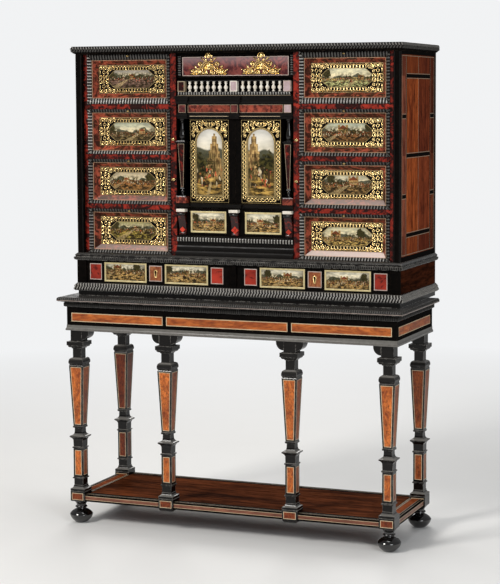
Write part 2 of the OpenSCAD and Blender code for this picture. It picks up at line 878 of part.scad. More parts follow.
// Spindle and hollow bell above the shaft
module pier_spindle() {
    h = door_z1 - pier_cap_z - 2 * glue;
    translate([0, 0, pier_cap_z + glue])
        rotate_extrude($fn = 40)
            polygon(concat([[0, 0], [11, 0], [11, 4], [6, 6], [6, 12], [8.5, 18], [8.5, 22], [5.5, 30], [5.5, 40]],
                curve([5.5, 41], [15, h - 10], -1, 4),
                [[16, h - 6], [16, h], [0, h]]));
}

module column_piers() {
    z0 = door_z0 + glue;
    z1 = door_z1 - glue;
    color(black)
        both() {
            slab(door_x + 3, part_x0 - glue, door_y + pier_back, door_y + door_t - 2, z0, z1);
            intersection() {
                slab(pier_x - 30, pier_x + 30, pier_y - 30, door_y + pier_back - glue, z0, z1);
                translate([pier_x, pier_y, 0]) {
                    slab(-17, 17, -17, 30, z0, pier_block_z);
                    pier_bell();
                    post(pier_herm, 0, 0);
                    pier_spindle();
                }
            }
        }
}

/* Doors */

pin_x = door_x - 4;
pin_y = door_y + 5;
door_gap = 0.6;
leaf_x0 = 0.5;

module pin_holes() {
    for (x = [-pin_x, pin_x])
        translate([x, pin_y, low_z1 + 2])
            cylinder(r = pin_r, h = door_z1 + 10 - low_z1 - 2, $fn = 40);
}

// Door pins with the washers the doors rest on, and four small knobs beside the piers
module brass_fittings() {
    color(gilt) {
        for (x = [-pin_x, pin_x]) {
            translate([x, pin_y, low_z1 + 2])
                cylinder(r = pin_r, h = door_z0 - low_z1 - 2 + pin_len, $fn = 40);
            translate([x, pin_y, door_z0])
                cylinder(r = pin_r + 1.5, h = door_gap - 0.1, $fn = 40);
            translate([x, pin_y, door_z1 - pin_len])
                cylinder(r = pin_r, h = pin_len + 10, $fn = 40);
        }
        for (x = [-part_x0 - part_t / 2, part_x0 + part_t / 2], z = [pier_herm_z + 21, pier_cap_z + 5])
            translate([x, strip_y - glue, z])
                rotate([90, 0, 0])
                    rotate_extrude($fn = 24)
                        polygon([[0, 0], [4, 0], [4, 1], [2, 2], [2, 5], [4.5, 8], [4.5, 10], [2, 13], [0, 13]]);
    }
}

leaf_z0 = door_z0 + door_gap;
leaf_z1 = door_z1 - door_gap;
win_x0 = leaf_x0 + 22;
win_x1 = door_x - 2;
plate_deep = 2;
arch_r = 46;
arch_z0 = leaf_z0 + 26;
arch_h = leaf_z1 - 32 - arch_r - arch_z0;

// Arched window of a door's picture
module arch_outline(r) {
    c = (win_x0 + win_x1) / 2;
    translate([c, 0]) {
        translate([-r, arch_z0 - r + arch_r]) square([2 * r, arch_h + r - arch_r]);
        translate([0, arch_z0 + arch_h]) circle(r = r, $fn = 64);
    }
}

module leaf() {
    difference() {
        slab(leaf_x0, door_x, door_y, door_y + door_t, leaf_z0, leaf_z1);
        slab(win_x0, win_x1, door_y - 1, door_y + plate_deep, leaf_z0 + 3, leaf_z1 - 3);
        for (z = [leaf_z0 - 1, leaf_z1 - pin_len - 1])
            translate([pin_x, pin_y, z])
                cylinder(r = pin_r + pin_clear, h = pin_len + 2, $fn = 40);
    }
}

module door_left() { color(ebony) mirror([1, 0, 0]) leaf(); }
module door_right() { color(ebony) leaf(); }

// Gilt panel of a door: raised arched border, pierced chain round it, rings in the spandrels
module door_mount() {
    c = (win_x0 + win_x1) / 2;
    y0 = door_y - 1;
    z0 = leaf_z0 + 3 + glue;
    z1 = leaf_z1 - 3 - glue;
    side_x = (win_x1 - win_x0) / 2 - 9;
    chain = floor((arch_h + 20) / 14);
    row = floor(2 * side_x / 14);
    color(gilt) {
        difference() {
            slab(win_x0 + glue, win_x1 - glue, y0, door_y + plate_deep - glue, z0, z1);
            along_y(y0 - 1, y0 + 1.5) arch_outline(arch_r);
            along_y(y0 - 1, y0 + 2.4) {
                for (s = [-1, 1], i = [0:chain])
                    translate([c + s * side_x, z0 + 22 + i * 14]) circle(r = 3.6, $fn = 20);
                for (i = [0:row])
                    translate([c + (i - row / 2) * 14, z0 + 9]) circle(r = 3.6, $fn = 20);
                for (s = [-1, 1]) {
                    translate([c + s * (side_x - 3), z1 - 12]) ring(7.5, 3.5);
                    translate([c + s * (side_x - 20), z1 - 9]) circle(r = 4, $fn = 20);
                    translate([c + s * (side_x + 1), z1 - 28]) circle(r = 4, $fn = 20);
                }
            }
        }
        along_y(y0 - 2, y0 - glue)
            difference() {
                arch_outline(arch_r + 5);
                arch_outline(arch_r);
            }
    }
}

module ring(r1, r0) {
    difference() {
        circle(r = r1, $fn = 28);
        circle(r = r0, $fn = 20);
    }
}

module door_mount_left() { mirror([1, 0, 0]) door_mount(); }
module door_mount_right() { door_mount(); }

/* Drawers */

box_y1 = back_y - 22;

// Open box of loose boards behind a drawer front, no lid
module drawer_box(x0, x1, y0, z0, z1) {
    slab(x0, x0 + box_t, y0 + glue, box_y1, z0, z1);
    slab(x1 - box_t, x1, y0 + glue, box_y1, z0, z1);
    slab(x0 + box_t + glue, x1 - box_t - glue, box_y1 - box_t, box_y1, z0 + bottom_t + glue, z1);
    slab(x0 + box_t + glue, x1 - box_t - glue, y0 + glue, box_y1, z0, z0 + bottom_t);
}

// Recess with four mitred slopes that narrows towards the back by sx and sz a side
module recess_room(x0, x1, z0, z1, y0, d, sx, sz) {
    e = 1;
    kx = sx * e / d;
    kz = sz * e / d;
    intersection() {
        linear_extrude(height = z1 + 10)
            polygon([[x0 - kx, y0 - e], [x1 + kx, y0 - e], [x1 - sx, y0 + d], [x0 + sx, y0 + d]]);
        along_x(x0 - 20, x1 + 20)
            polygon([[y0 - e, z0 - kz], [y0 - e, z1 + kz], [y0 + d, z1 - sz], [y0 + d, z0 + sz]]);
    }
}

module side_drawer(k) {
    x0 = bank_x0 + gap;
    x1 = bank_x1 - gap;
    z0 = row_z(k) + gap;
    z1 = row_top(k) - gap;
    bx = band_w;
    bz = band_w - 3 + row_extra(k) / 2;
    y1 = frame_y + recess + mount_t + front_t;
    color(ebony) {
        difference() {
            slab(x0, x1, frame_y, y1, z0, z1);
            recess_room(x0 + band_rim, x1 - band_rim, z0 + band_rim, z1 - band_rim,
                frame_y, band_fall, bx - band_rim, bz - band_rim);
            recess_room(x0 + bx, x1 - bx, z0 + bz, z1 - bz, frame_y + band_fall - glue,
                recess + mount_t - band_fall + glue, slope_w, slope_w);
        }
        drawer_box(x0, x1, y1, row_z(k) + run_gap, row_z(k) + row_h - 14);
    }
}

// Extra height of a row over the common one
function row_extra(k) = row_top(k) - row_z(k) - row_h;

band_rim = 1.5;
win_share_w = 0.665;
win_share_h = 0.68;

// Stretch of a flat scroll: part of a ring between two angles
module scroll(c, r, w, a0, a1) {
    n = 8;
    translate(c)
        intersection() {
            ring(r + w / 2, r - w / 2);
            polygon(concat([[0, 0]], [for (i = [0:n]) let (a = a0 + (a1 - a0) * i / n) 3 * r * [cos(a), sin(a)]]));
        }
}

// Picture window with cut corners
module window_outline(w, h, grow) {
    a = w / 2 + grow;
    b = h / 2 + grow;
    cx = w * 0.12;
    cz = h * 0.36;
    polygon([[-a + cx, -b], [a - cx, -b], [a, -b + cz], [a, b - cz], [a - cx, b], [-a + cx, b], [-a, b - cz], [-a, -b + cz]]);
}

// Volute: three stretches that wind inwards, each with a smaller radius, and a bud at the end
module volute(c, r, w, a0, turn = 1) {
    a1 = a0 + turn * 170;
    a2 = a1 + turn * 150;
    a3 = a2 + turn * 130;
    r2 = r * 0.68;
    r3 = r * 0.4;
    c2 = c + (r - r2) * [cos(a1), sin(a1)];
    c3 = c2 + (r2 - r3) * [cos(a2), sin(a2)];
    scroll(c, r, w, a0, a1);
    scroll(c2, r2, w * 0.9, a1 - turn * 4, a2);
    scroll(c3, r3, w * 0.8, a2 - turn * 4, a3);
    translate(c3 + r3 * [cos(a3), sin(a3)]) circle(r = w * 0.62, $fn = 16);
}

// Openwork plate: rim, window frame, volutes that fill the ends, arches along the edges
module mount_plate(w, h) {
    wx = w * win_share_w / 2;
    wz = h * win_share_h / 2;
    rim = 2.5;
    arch_c = wz + 2.9;
    arch_top = h / 2 - rim - arch_c - 0.8;
    difference() {
        square([w, h], center = true);
        square([w - 2 * rim, h - 2 * rim], center = true);
    }
    window_outline(2 * wx, 2 * wz, 3);
    for (sx = [0, 1], sz = [0, 1])
        mirror([sx, 0]) mirror([0, sz]) {
            volute([w / 2 - 12, h / 2 - 12], 9, 3.2, 60);
            volute([w / 2 - 10, 10], 7.6, 3, -20);
            volute([w / 2 - 30, h / 2 - 9.5], 6.4, 2.8, 110, -1);
            volute([w / 2 - 32, 6], 5, 2.4, 200, -1);
            for (x = [8:16:wx - 20])
                scroll([x, arch_c], arch_top, 2.6, 0, 180);
        }
}

// Gilt mount of a drawer with its picture plate and the small knob above
module side_mount(k) {
    side = band_w + slope_w + 0.5;
    w = bank_x1 - bank_x0 - 2 * (gap + side);
    h = row_h - 2 * (gap + side - 3);
    cx = (bank_x0 + bank_x1) / 2;
    cz = (row_z(k) + row_top(k)) / 2;
    color(gilt)
        translate([cx, frame_y + recess + mount_t, cz])
            rotate([90, 0, 0])
                linear_extrude(height = mount_t)
                    mount_plate(w, h);
    shank = 1.2;
    drop = 6;
    fall = (drop - shank - band_rim) * band_fall / (band_w - 3 + row_extra(k) / 2 - band_rim);
    color(gilt)
        translate([cx, frame_y - glue, row_top(k) - gap - drop])
            rotate([90, 0, 0])
                rotate_extrude($fn = 24)
                    polygon([[0, -fall], [shank, -fall], [shank, 0], [3, 0], [3, 1], [1.5, 2], [1.5, 4],
                        [3.5, 6], [3, 9], [0, 10]]);
    color("#b9a27c")
        translate([cx, frame_y + recess - glue, cz])
            rotate([90, 0, 0])
                linear_extrude(height = 1.5)
                    window_outline(w * win_share_w, h * win_share_h, 0);
}

module drawer_left_1() { mirror([1, 0, 0]) side_drawer(3); }
module drawer_left_2() { mirror([1, 0, 0]) side_drawer(2); }
module drawer_left_3() { mirror([1, 0, 0]) side_drawer(1); }
module drawer_left_4() { mirror([1, 0, 0]) side_drawer(0); }
module drawer_right_1() { side_drawer(3); }
module drawer_right_2() { side_drawer(2); }
module drawer_right_3() { side_drawer(1); }
module drawer_right_4() { side_drawer(0); }
module mount_left_1() { mirror([1, 0, 0]) side_mount(3); }
module mount_left_2() { mirror([1, 0, 0]) side_mount(2); }
module mount_left_3() { mirror([1, 0, 0]) side_mount(1); }
module mount_left_4() { mirror([1, 0, 0]) side_mount(0); }
module mount_right_1() { side_mount(3); }
module mount_right_2() { side_mount(2); }
module mount_right_3() { side_mount(1); }
module mount_right_4() { side_mount(0); }

// Plinth drawers: front with five let-in plates
pf_x0 = pd_x0 + gap;
pf_x1 = pd_x1 - gap;
pf_z0 = tier_z0 + gap + glue;
pf_z1 = tier_z1 - gap;
pf_z = (pf_z0 + pf_z1) / 2;

// Plates from the middle outwards: [left, right, height], shares of the front's width
plates = [[0.045, 0.13, 54], [0.15, 0.45, 64], [0.47, 0.56, 52], [0.58, 0.88, 64], [0.9, 0.985, 54]];

module plate_solids() {
    w = pf_x1 - pf_x0;
    for (p = plates)
        slab(pf_x0 + p[0] * w, pf_x0 + p[1] * w, plinth_y0 + 1, plinth_y0 + 1 + inlay_t + 1,
            pf_z - p[2] / 2, pf_z + p[2] / 2);
}

module plinth_drawer() {
    y0 = plinth_y0 + 1;
    color(ebony) {
        difference() {
            slab(pf_x0, pf_x1, y0, y0 + plinth_front_t, pf_z0, pf_z1);
            plate_solids();
        }
        drawer_box(pf_x0, pf_x1, y0 + plinth_front_t, tier_z0 + run_gap, pf_z1 - 10);
    }
}

module plinth_drawer_left() { mirror([1, 0, 0]) plinth_drawer(); }
module plinth_drawer_right() { plinth_drawer(); }
module plinth_fronts_left() { color(red_shell) mirror([1, 0, 0]) plate_solids(); }
module plinth_fronts_right() { color(red_shell) plate_solids(); }

// Top drawer of the middle section
td_x = part_x0 - gap;
td_y = door_y - 1;
module top_drawer() {
    z1 = top_z - gap;
    color(ebony) {
        difference() {
            slab(-td_x, td_x, td_y, td_y + 16, top_z0 + gap, z1);
            slab(-td_x + 9, td_x - 9, td_y - 1, td_y + 3, top_z0 + gap + 6, z1 - 6);
        }
        drawer_box(-td_x, td_x, td_y + 16, top_z0 + run_gap, z1 - 14);
    }
}

// Red plate with two gilt fans
module fan_mounts() {
    z0 = top_z0 + gap + 6 + glue;
    z1 = top_z - gap - 6 - glue;
    zc = (z0 + z1) / 2;
    color(red_shell)
        slab(-td_x + 9 + glue, td_x - 9 - glue, td_y + 1, td_y + 3 - glue, z0, z1);
    color(gilt)
        both()
            translate([td_x * 0.47, td_y + 1 - glue, z0 + 5])
                rotate([90, 0, 0])
                    linear_extrude(height = 2)
                        difference() {
                            intersection() {
                                circle(r = z1 - z0 - 9, $fn = 64);
                                translate([-80, 0]) square([160, 80]);
                            }
                            for (a = [15:25:165])
                                rotate([0, 0, a])
                                    translate([(z1 - z0) * 0.58, 0])
                                        circle(r = 3.4, $fn = 20);
                        }
}

// Lower drawer of the middle section
ld_y = door_y - 1;
module lower_drawer() {
    color(ebony) {
        difference() {
            slab(-td_x, td_x, ld_y, ld_y + 16, low_z0 + gap, low_z1 - gap);
            lower_plates();
        }
        drawer_box(-td_x, td_x, ld_y + 16, low_z0 + run_gap, low_z1 - 16);
    }
}

console_half = 18;
console_x = [-td_x + console_half, 0, td_x - console_half];

module lower_plates() {
    both()
        slab(console_half + 15, td_x - 2 * console_half - 9, ld_y, ld_y + 2.5, low_z0 + 10, low_z1 - 10);
}

// Scrolled consoles and the two framed plates
module lower_consoles() {
    zt = low_z1 - gap - 2;
    zb = low_z0 + gap + 2;
    color(gilt)
        lower_plates();
    color(black)
        for (x = console_x)
            along_x(x - console_half + 4, x + console_half - 4)
                union() {
                    polygon(concat([[ld_y - glue, zb], [ld_y - 6, zb]],
                        curve([ld_y - 6, zb + 8], [ld_y - 17, zt - 20], -1, 5),
                        [[ld_y - 21, zt - 8], [ld_y - 21, zt], [ld_y - glue, zt]]));
                }
}

feet();
leg_front_left();
leg_inner_left();
leg_inner_right();
leg_front_right();
leg_back_left();
leg_back_right();
leg_inlays();
leg_brackets();
shelf_board();
shelf_rails();
apron();
apron_panels();
apron_moulding();
stand_top();
case_base();
plinth_case();
plinth_moulding();
case_floor();
case_side_left();
case_side_right();
side_panels();
case_back();
case_top_board();
cornice();
partitions();
drawer_rails();
red_strips();
middle_mouldings();
balustrade();
column_piers();
brass_fittings();
drawer_left_1();
drawer_left_2();
drawer_left_3();
drawer_left_4();
drawer_right_1();
drawer_right_2();
drawer_right_3();
drawer_right_4();
mount_left_1();
mount_left_2();
mount_left_3();
mount_left_4();
mount_right_1();
mount_right_2();
mount_right_3();
mount_right_4();
plinth_drawer_left();
plinth_drawer_right();
plinth_fronts_left();
plinth_fronts_right();
top_drawer();
fan_mounts();
lower_drawer();
lower_consoles();
door_left();
door_right();
door_mount_left();
door_mount_right();
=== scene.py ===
"""Dresses a baroque cabinet on stand: rippled ebony mouldings, red tortoiseshell,
gilt openwork mounts round small painted plates, burl panels with pale stringing."""

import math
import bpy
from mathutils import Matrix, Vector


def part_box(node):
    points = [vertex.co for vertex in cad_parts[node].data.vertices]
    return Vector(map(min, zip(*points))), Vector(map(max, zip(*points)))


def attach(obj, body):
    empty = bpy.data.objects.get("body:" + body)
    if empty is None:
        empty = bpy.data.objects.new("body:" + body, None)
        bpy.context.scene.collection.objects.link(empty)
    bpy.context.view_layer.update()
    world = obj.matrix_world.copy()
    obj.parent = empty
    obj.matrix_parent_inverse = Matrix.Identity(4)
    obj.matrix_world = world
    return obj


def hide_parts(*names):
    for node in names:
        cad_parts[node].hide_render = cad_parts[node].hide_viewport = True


bl_info = {
    "name": "Cabinet on Stand",
    "version": (1, 0, 0),
    "blender": (4, 5, 0),
    "location": "View3D > Sidebar > Cabinet",
    "description": "Models the ornament and finishes of a cabinet on stand",
    "category": "Object",
}

import bpy
from bpy.props import FloatProperty, FloatVectorProperty, IntProperty, PointerProperty
from mathutils import Matrix, Vector

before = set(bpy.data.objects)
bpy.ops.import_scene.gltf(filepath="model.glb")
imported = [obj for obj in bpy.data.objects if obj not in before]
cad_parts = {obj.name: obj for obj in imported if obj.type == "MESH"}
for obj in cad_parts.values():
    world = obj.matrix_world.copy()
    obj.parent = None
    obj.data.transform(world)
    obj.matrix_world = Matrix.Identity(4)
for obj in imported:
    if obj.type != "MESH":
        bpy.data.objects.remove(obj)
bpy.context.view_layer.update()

STAND = "carcass_and_stand"
MM = 0.001


def length_property(label, words, millimetres):
    return FloatProperty(name=label, description=words, default=millimetres * MM,
                         unit="LENGTH", precision=5)


def colour_property(label, words, red, green, blue):
    return FloatVectorProperty(name=label, description=words, default=(red, green, blue),
                               size=3, min=0.0, max=1.0, subtype="COLOR")


class CabinetSizes(bpy.types.PropertyGroup):
    """Sizes of the ornament"""

    ripple_pitch: length_property("Ripple pitch", "Distance from wave to wave", 10.0)
    ripple_rise: length_property("Ripple rise", "Height of a wave", 2.4)
    fine_pitch: length_property("Fine pitch", "Pitch of the finer ripple mouldings", 7.4)
    string_width: length_property("Stringing width", "Width of a pale line", 1.8)
    string_rise: length_property("Stringing rise", "How far a line stands out", 0.25)
    rod: length_property("Scroll rod", "Radius of a gilt scroll", 1.55)
    turned_steps: IntProperty(name="Turned steps", default=56, min=12,
                              description="Facets round a turned piece")


class CabinetColours(bpy.types.PropertyGroup):
    """Colours of the finishes"""

    ebony: colour_property("Ebony", "Black polished wood", 0.0028, 0.0025, 0.0023)
    # Pale tone of the crests, edges and ledges of polished ebony: partly wear, partly painted
    # highlight.
    crest: colour_property("Worn crests, painted sheen", "Rubbed crests of the ripples", 0.3, 0.285, 0.26)
    ebony_worn: colour_property("Worn ebony", "Edges where the stain is thin", 0.075, 0.05, 0.034)
    burl_light: colour_property("Burl, light", "Light figure of the leg panels", 0.72, 0.2, 0.038)
    burl_dark: colour_property("Burl, dark", "Dark figure of the leg panels", 0.19, 0.033, 0.008)
    rose_light: colour_property("Rosewood, light", "Light streaks", 0.19, 0.052, 0.018)
    rose_dark: colour_property("Rosewood, dark", "Dark streaks", 0.024, 0.008, 0.004)
    side_light: colour_property("Side panel, light", "Light figure", 0.3, 0.075, 0.026)
    side_dark: colour_property("Side panel, dark", "Dark figure", 0.075, 0.014, 0.006)
    shell_red: colour_property("Tortoiseshell red", "Red ground of the shell", 0.3, 0.026, 0.014)
    shell_black: colour_property("Tortoiseshell black", "Its dark clouds", 0.02, 0.004, 0.003)
    gilt: colour_property("Gilt", "Gilded brass", 0.95, 0.7, 0.31)
    gilt_deep: colour_property("Tarnished gilt", "Gilding in the hollows", 0.2, 0.115, 0.028)
    string_line: colour_property("Stringing", "Pale inlaid lines", 0.62, 0.49, 0.32)
    bone: colour_property("Bone", "Balusters and caps", 0.8, 0.76, 0.68)
    drawer_wood: colour_property("Drawer wood", "Plain wood of the boxes", 0.33, 0.19, 0.095)
    back_wood: colour_property("Back boards", "Plain wood of the back", 0.17, 0.1, 0.055)
    floor: colour_property("Floor", "Floor of the studio", 0.8, 0.8, 0.79)


def sizes():
    return bpy.context.scene.cabinet_sizes


def colours():
    return bpy.context.scene.cabinet_colours


def shaded(colour, factor):
    """The colour with each part multiplied by the factor, at most 1."""
    return tuple(min(part * factor, 1.0) for part in colour)


# Node trees

FLOAT, COLOUR, VECTOR = "NodeSocketFloat", "NodeSocketColor", "NodeSocketVector"


class Wire:
    """Output of a node; arithmetic with it adds Math nodes to its tree."""

    def __init__(self, socket):
        self.socket = socket

    def __add__(self, other):
        return calc("ADD", self, other)

    def __sub__(self, other):
        return calc("SUBTRACT", self, other)

    def __rsub__(self, other):
        return calc("SUBTRACT", other, self)

    def __mul__(self, other):
        return calc("MULTIPLY", self, other)

    def __truediv__(self, other):
        return calc("DIVIDE", self, other)

    def __lt__(self, other):
        return calc("LESS_THAN", self, other)

    def __gt__(self, other):
        return calc("GREATER_THAN", self, other)

    def __abs__(self):
        return calc("ABSOLUTE", self)


def tree_of(*values):
    """Node tree of the first wire among the values."""
    return next(value.socket.id_data for value in values if isinstance(value, Wire))


def feed(socket, value):
    """Link a wire to the socket, or set a fixed value on it."""
    if isinstance(value, Wire):
        socket.id_data.links.new(value.socket, socket)
    elif hasattr(value, "__len__") and len(value) == 3 and len(socket.default_value) == 4:
        socket.default_value = (*value, 1.0)
    else:
        socket.default_value = value


def wire(tree, kind, output=0, inputs=None, **settings):
    """One output of a new node, whose inputs are fixed values or wires."""
    node = tree.nodes.new("ShaderNode" + kind)
    for key, value in settings.items():
        setattr(node, key, value)
    for key, value in (inputs or {}).items():
        feed(node.inputs[key], value)
    return Wire(node.outputs[output])


def calc(operation, *values, **settings):
    return wire(tree_of(*values), "Math", 0, dict(enumerate(values)), operation=operation,
                **settings)


def either(first, second):
    return calc("MAXIMUM", first, second)


def between(value, low, high):
    return (value > low) * (value < high)


def spread(value, low, high, new_low=0.0, new_high=1.0):
    """The value's range from low to high, mapped to the new one and clamped."""
    inputs = dict(enumerate((value, low, high, new_low, new_high)))
    return wire(tree_of(value), "MapRange", 0, inputs)


def mixed(factor, first, second, how="MIX"):
    """Colour that goes from the first to the second as the factor goes from 0 to 1."""
    return wire(tree_of(factor, first, second), "Mix", 2, {0: factor, 6: first, 7: second},
                data_type="RGBA", blend_type=how)


def noise(vector, scale, detail=3.0, rough=0.55, distort=0.0):
    return wire(tree_of(vector), "TexNoise", 0,
                {"Vector": vector, "Scale": scale, "Detail": detail, "Roughness": rough,
                 "Distortion": distort})


def stretched(vector, factors, shift=(0, 0, 0)):
    return wire(tree_of(vector), "Mapping", 0,
                {"Vector": vector, "Scale": factors, "Location": shift})


def scaled(vector, factor):
    return wire(tree_of(vector), "VectorMath", 0, {0: vector, "Scale": factor}, operation="SCALE")


def shifted(vector, number):
    """The vector moved by a whole pattern for each number, so that boards don't match."""
    shift = wire(tree_of(vector), "CombineXYZ", 0, {0: number, 1: number, 2: number})
    return wire(tree_of(vector), "VectorMath", 0, {0: vector, 1: shift}, operation="ADD")


def split(vector):
    """The three parts of a vector."""
    parts = wire(tree_of(vector), "SeparateXYZ", 0, {0: vector}).socket.node.outputs
    return [Wire(part) for part in parts]


def true_normal(tree):
    return wire(tree, "NewGeometry", "True Normal")


def new_group(name, inputs, outputs):
    """Node group; returns its tree, the wires of its inputs and the sockets of its outputs.
    An input is given by its kind or, where it is a number, by its value."""
    tree = bpy.data.node_groups.new(name, "ShaderNodeTree")
    for label, value in inputs.items():
        kind = value if isinstance(value, str) else FLOAT
        socket = tree.interface.new_socket(name=label, in_out="INPUT", socket_type=kind)
        if kind == FLOAT:
            socket.default_value = value
    for label, kind in outputs.items():
        tree.interface.new_socket(name=label, in_out="OUTPUT", socket_type=kind)
    given = tree.nodes.new("NodeGroupInput")
    return (tree, {label: Wire(given.outputs[label]) for label in inputs},
            tree.nodes.new("NodeGroupOutput").inputs)


def grouped(tree, group, inputs):
    """Places a node group; returns the wires of its outputs by name."""
    node = tree.nodes.new("ShaderNodeGroup")
    node.node_tree = bpy.data.node_groups[group]
    for label, value in inputs.items():
        feed(node.inputs[label], value)
    return {output.name: Wire(output) for output in node.outputs}


def build_wood_group():
    """Figure of wood: long streaks, clouds of colour and open pores."""
    _, given, out = new_group(
        "Wood Figure",
        {"Vector": VECTOR, "Light": COLOUR, "Dark": COLOUR, "Streak": 40.0, "Curl": 1.0,
         "Cloud": 9.0, "Depth": 0.6},
        {"Colour": COLOUR, "Grain": FLOAT})
    place = given["Vector"]
    streaks = noise(place, given["Streak"], 6.0, 0.62, given["Curl"])
    clouds = noise(place, given["Cloud"], 2.0, 0.5, 1.6)
    figure = calc("POWER", spread(streaks * 0.62 + clouds * 0.38, 0.34, 0.64), 1.25)
    pores = spread(noise(place, given["Streak"] * 5.0, 2.0, 0.7), 0.36, 0.5)
    shade = 1.0 - (1.0 - pores) * given["Depth"]
    feed(out["Colour"], scaled(mixed(figure, given["Dark"], given["Light"]), shade))
    feed(out["Grain"], streaks * 0.5 + pores * 0.5)


def build_wear_group():
    """Mask of edges rubbed by hands, broken up by noise."""
    tree, given, out = new_group("Edge Wear", {"Radius": 0.0012, "Amount": 1.0}, {"Mask": FLOAT})
    rounded = wire(tree, "Bevel", 0, {"Radius": given["Radius"]}, samples=4)
    turn = wire(tree, "VectorMath", "Value", {0: rounded, 1: true_normal(tree)},
                operation="DOT_PRODUCT")
    edge = spread(1.0 - turn, 0.02, 0.22)
    broken = spread(noise(wire(tree, "TexCoord", "Object"), 60.0, 4.0, 0.65), 0.42, 0.66)
    feed(out["Mask"], calc("MULTIPLY", edge * broken, given["Amount"], use_clamp=True))


def build_polish_group():
    """Unevenness of an old polish: soft smears for roughness and a little dust on ledges."""
    tree, given, out = new_group(
        "Old Polish", {"Low": 0.2, "High": 0.4}, {"Roughness": FLOAT, "Dust": FLOAT})
    place = wire(tree, "TexCoord", "Object")
    smears = noise(stretched(place, (1.0, 1.0, 0.45)), 14.0, 4.0, 0.6, 0.8)
    feed(out["Roughness"], spread(smears, 0.3, 0.7, given["Low"], given["High"]))
    ledge = spread(split(true_normal(tree))[2], 0.8, 1.0)
    feed(out["Dust"], ledge * spread(noise(place, 45.0, 5.0, 0.7), 0.4, 0.75))


def build_shell_group():
    """Tortoiseshell over red foil: dark clouds with feathered rims, finer flecks."""
    _, given, out = new_group(
        "Tortoiseshell",
        {"Vector": VECTOR, "Red": COLOUR, "Black": COLOUR, "Cover": 0.5},
        {"Colour": COLOUR, "Mottle": FLOAT})
    place = given["Vector"]
    clouds = noise(place, 34.0, 3.0, 0.62, 1.4)
    flecks = noise(place, 120.0, 2.0, 0.6, 0.6)
    edge = 0.74 - given["Cover"] * 0.42
    mottle = spread(clouds * 0.8 + flecks * 0.2 - edge, -0.06, 0.07)
    glow = spread(noise(place, 16.0, 2.0), 0.35, 0.7, 0.55, 1.25)
    feed(out["Colour"], mixed(mottle, scaled(given["Red"], glow), given["Black"]))
    feed(out["Mottle"], mottle)


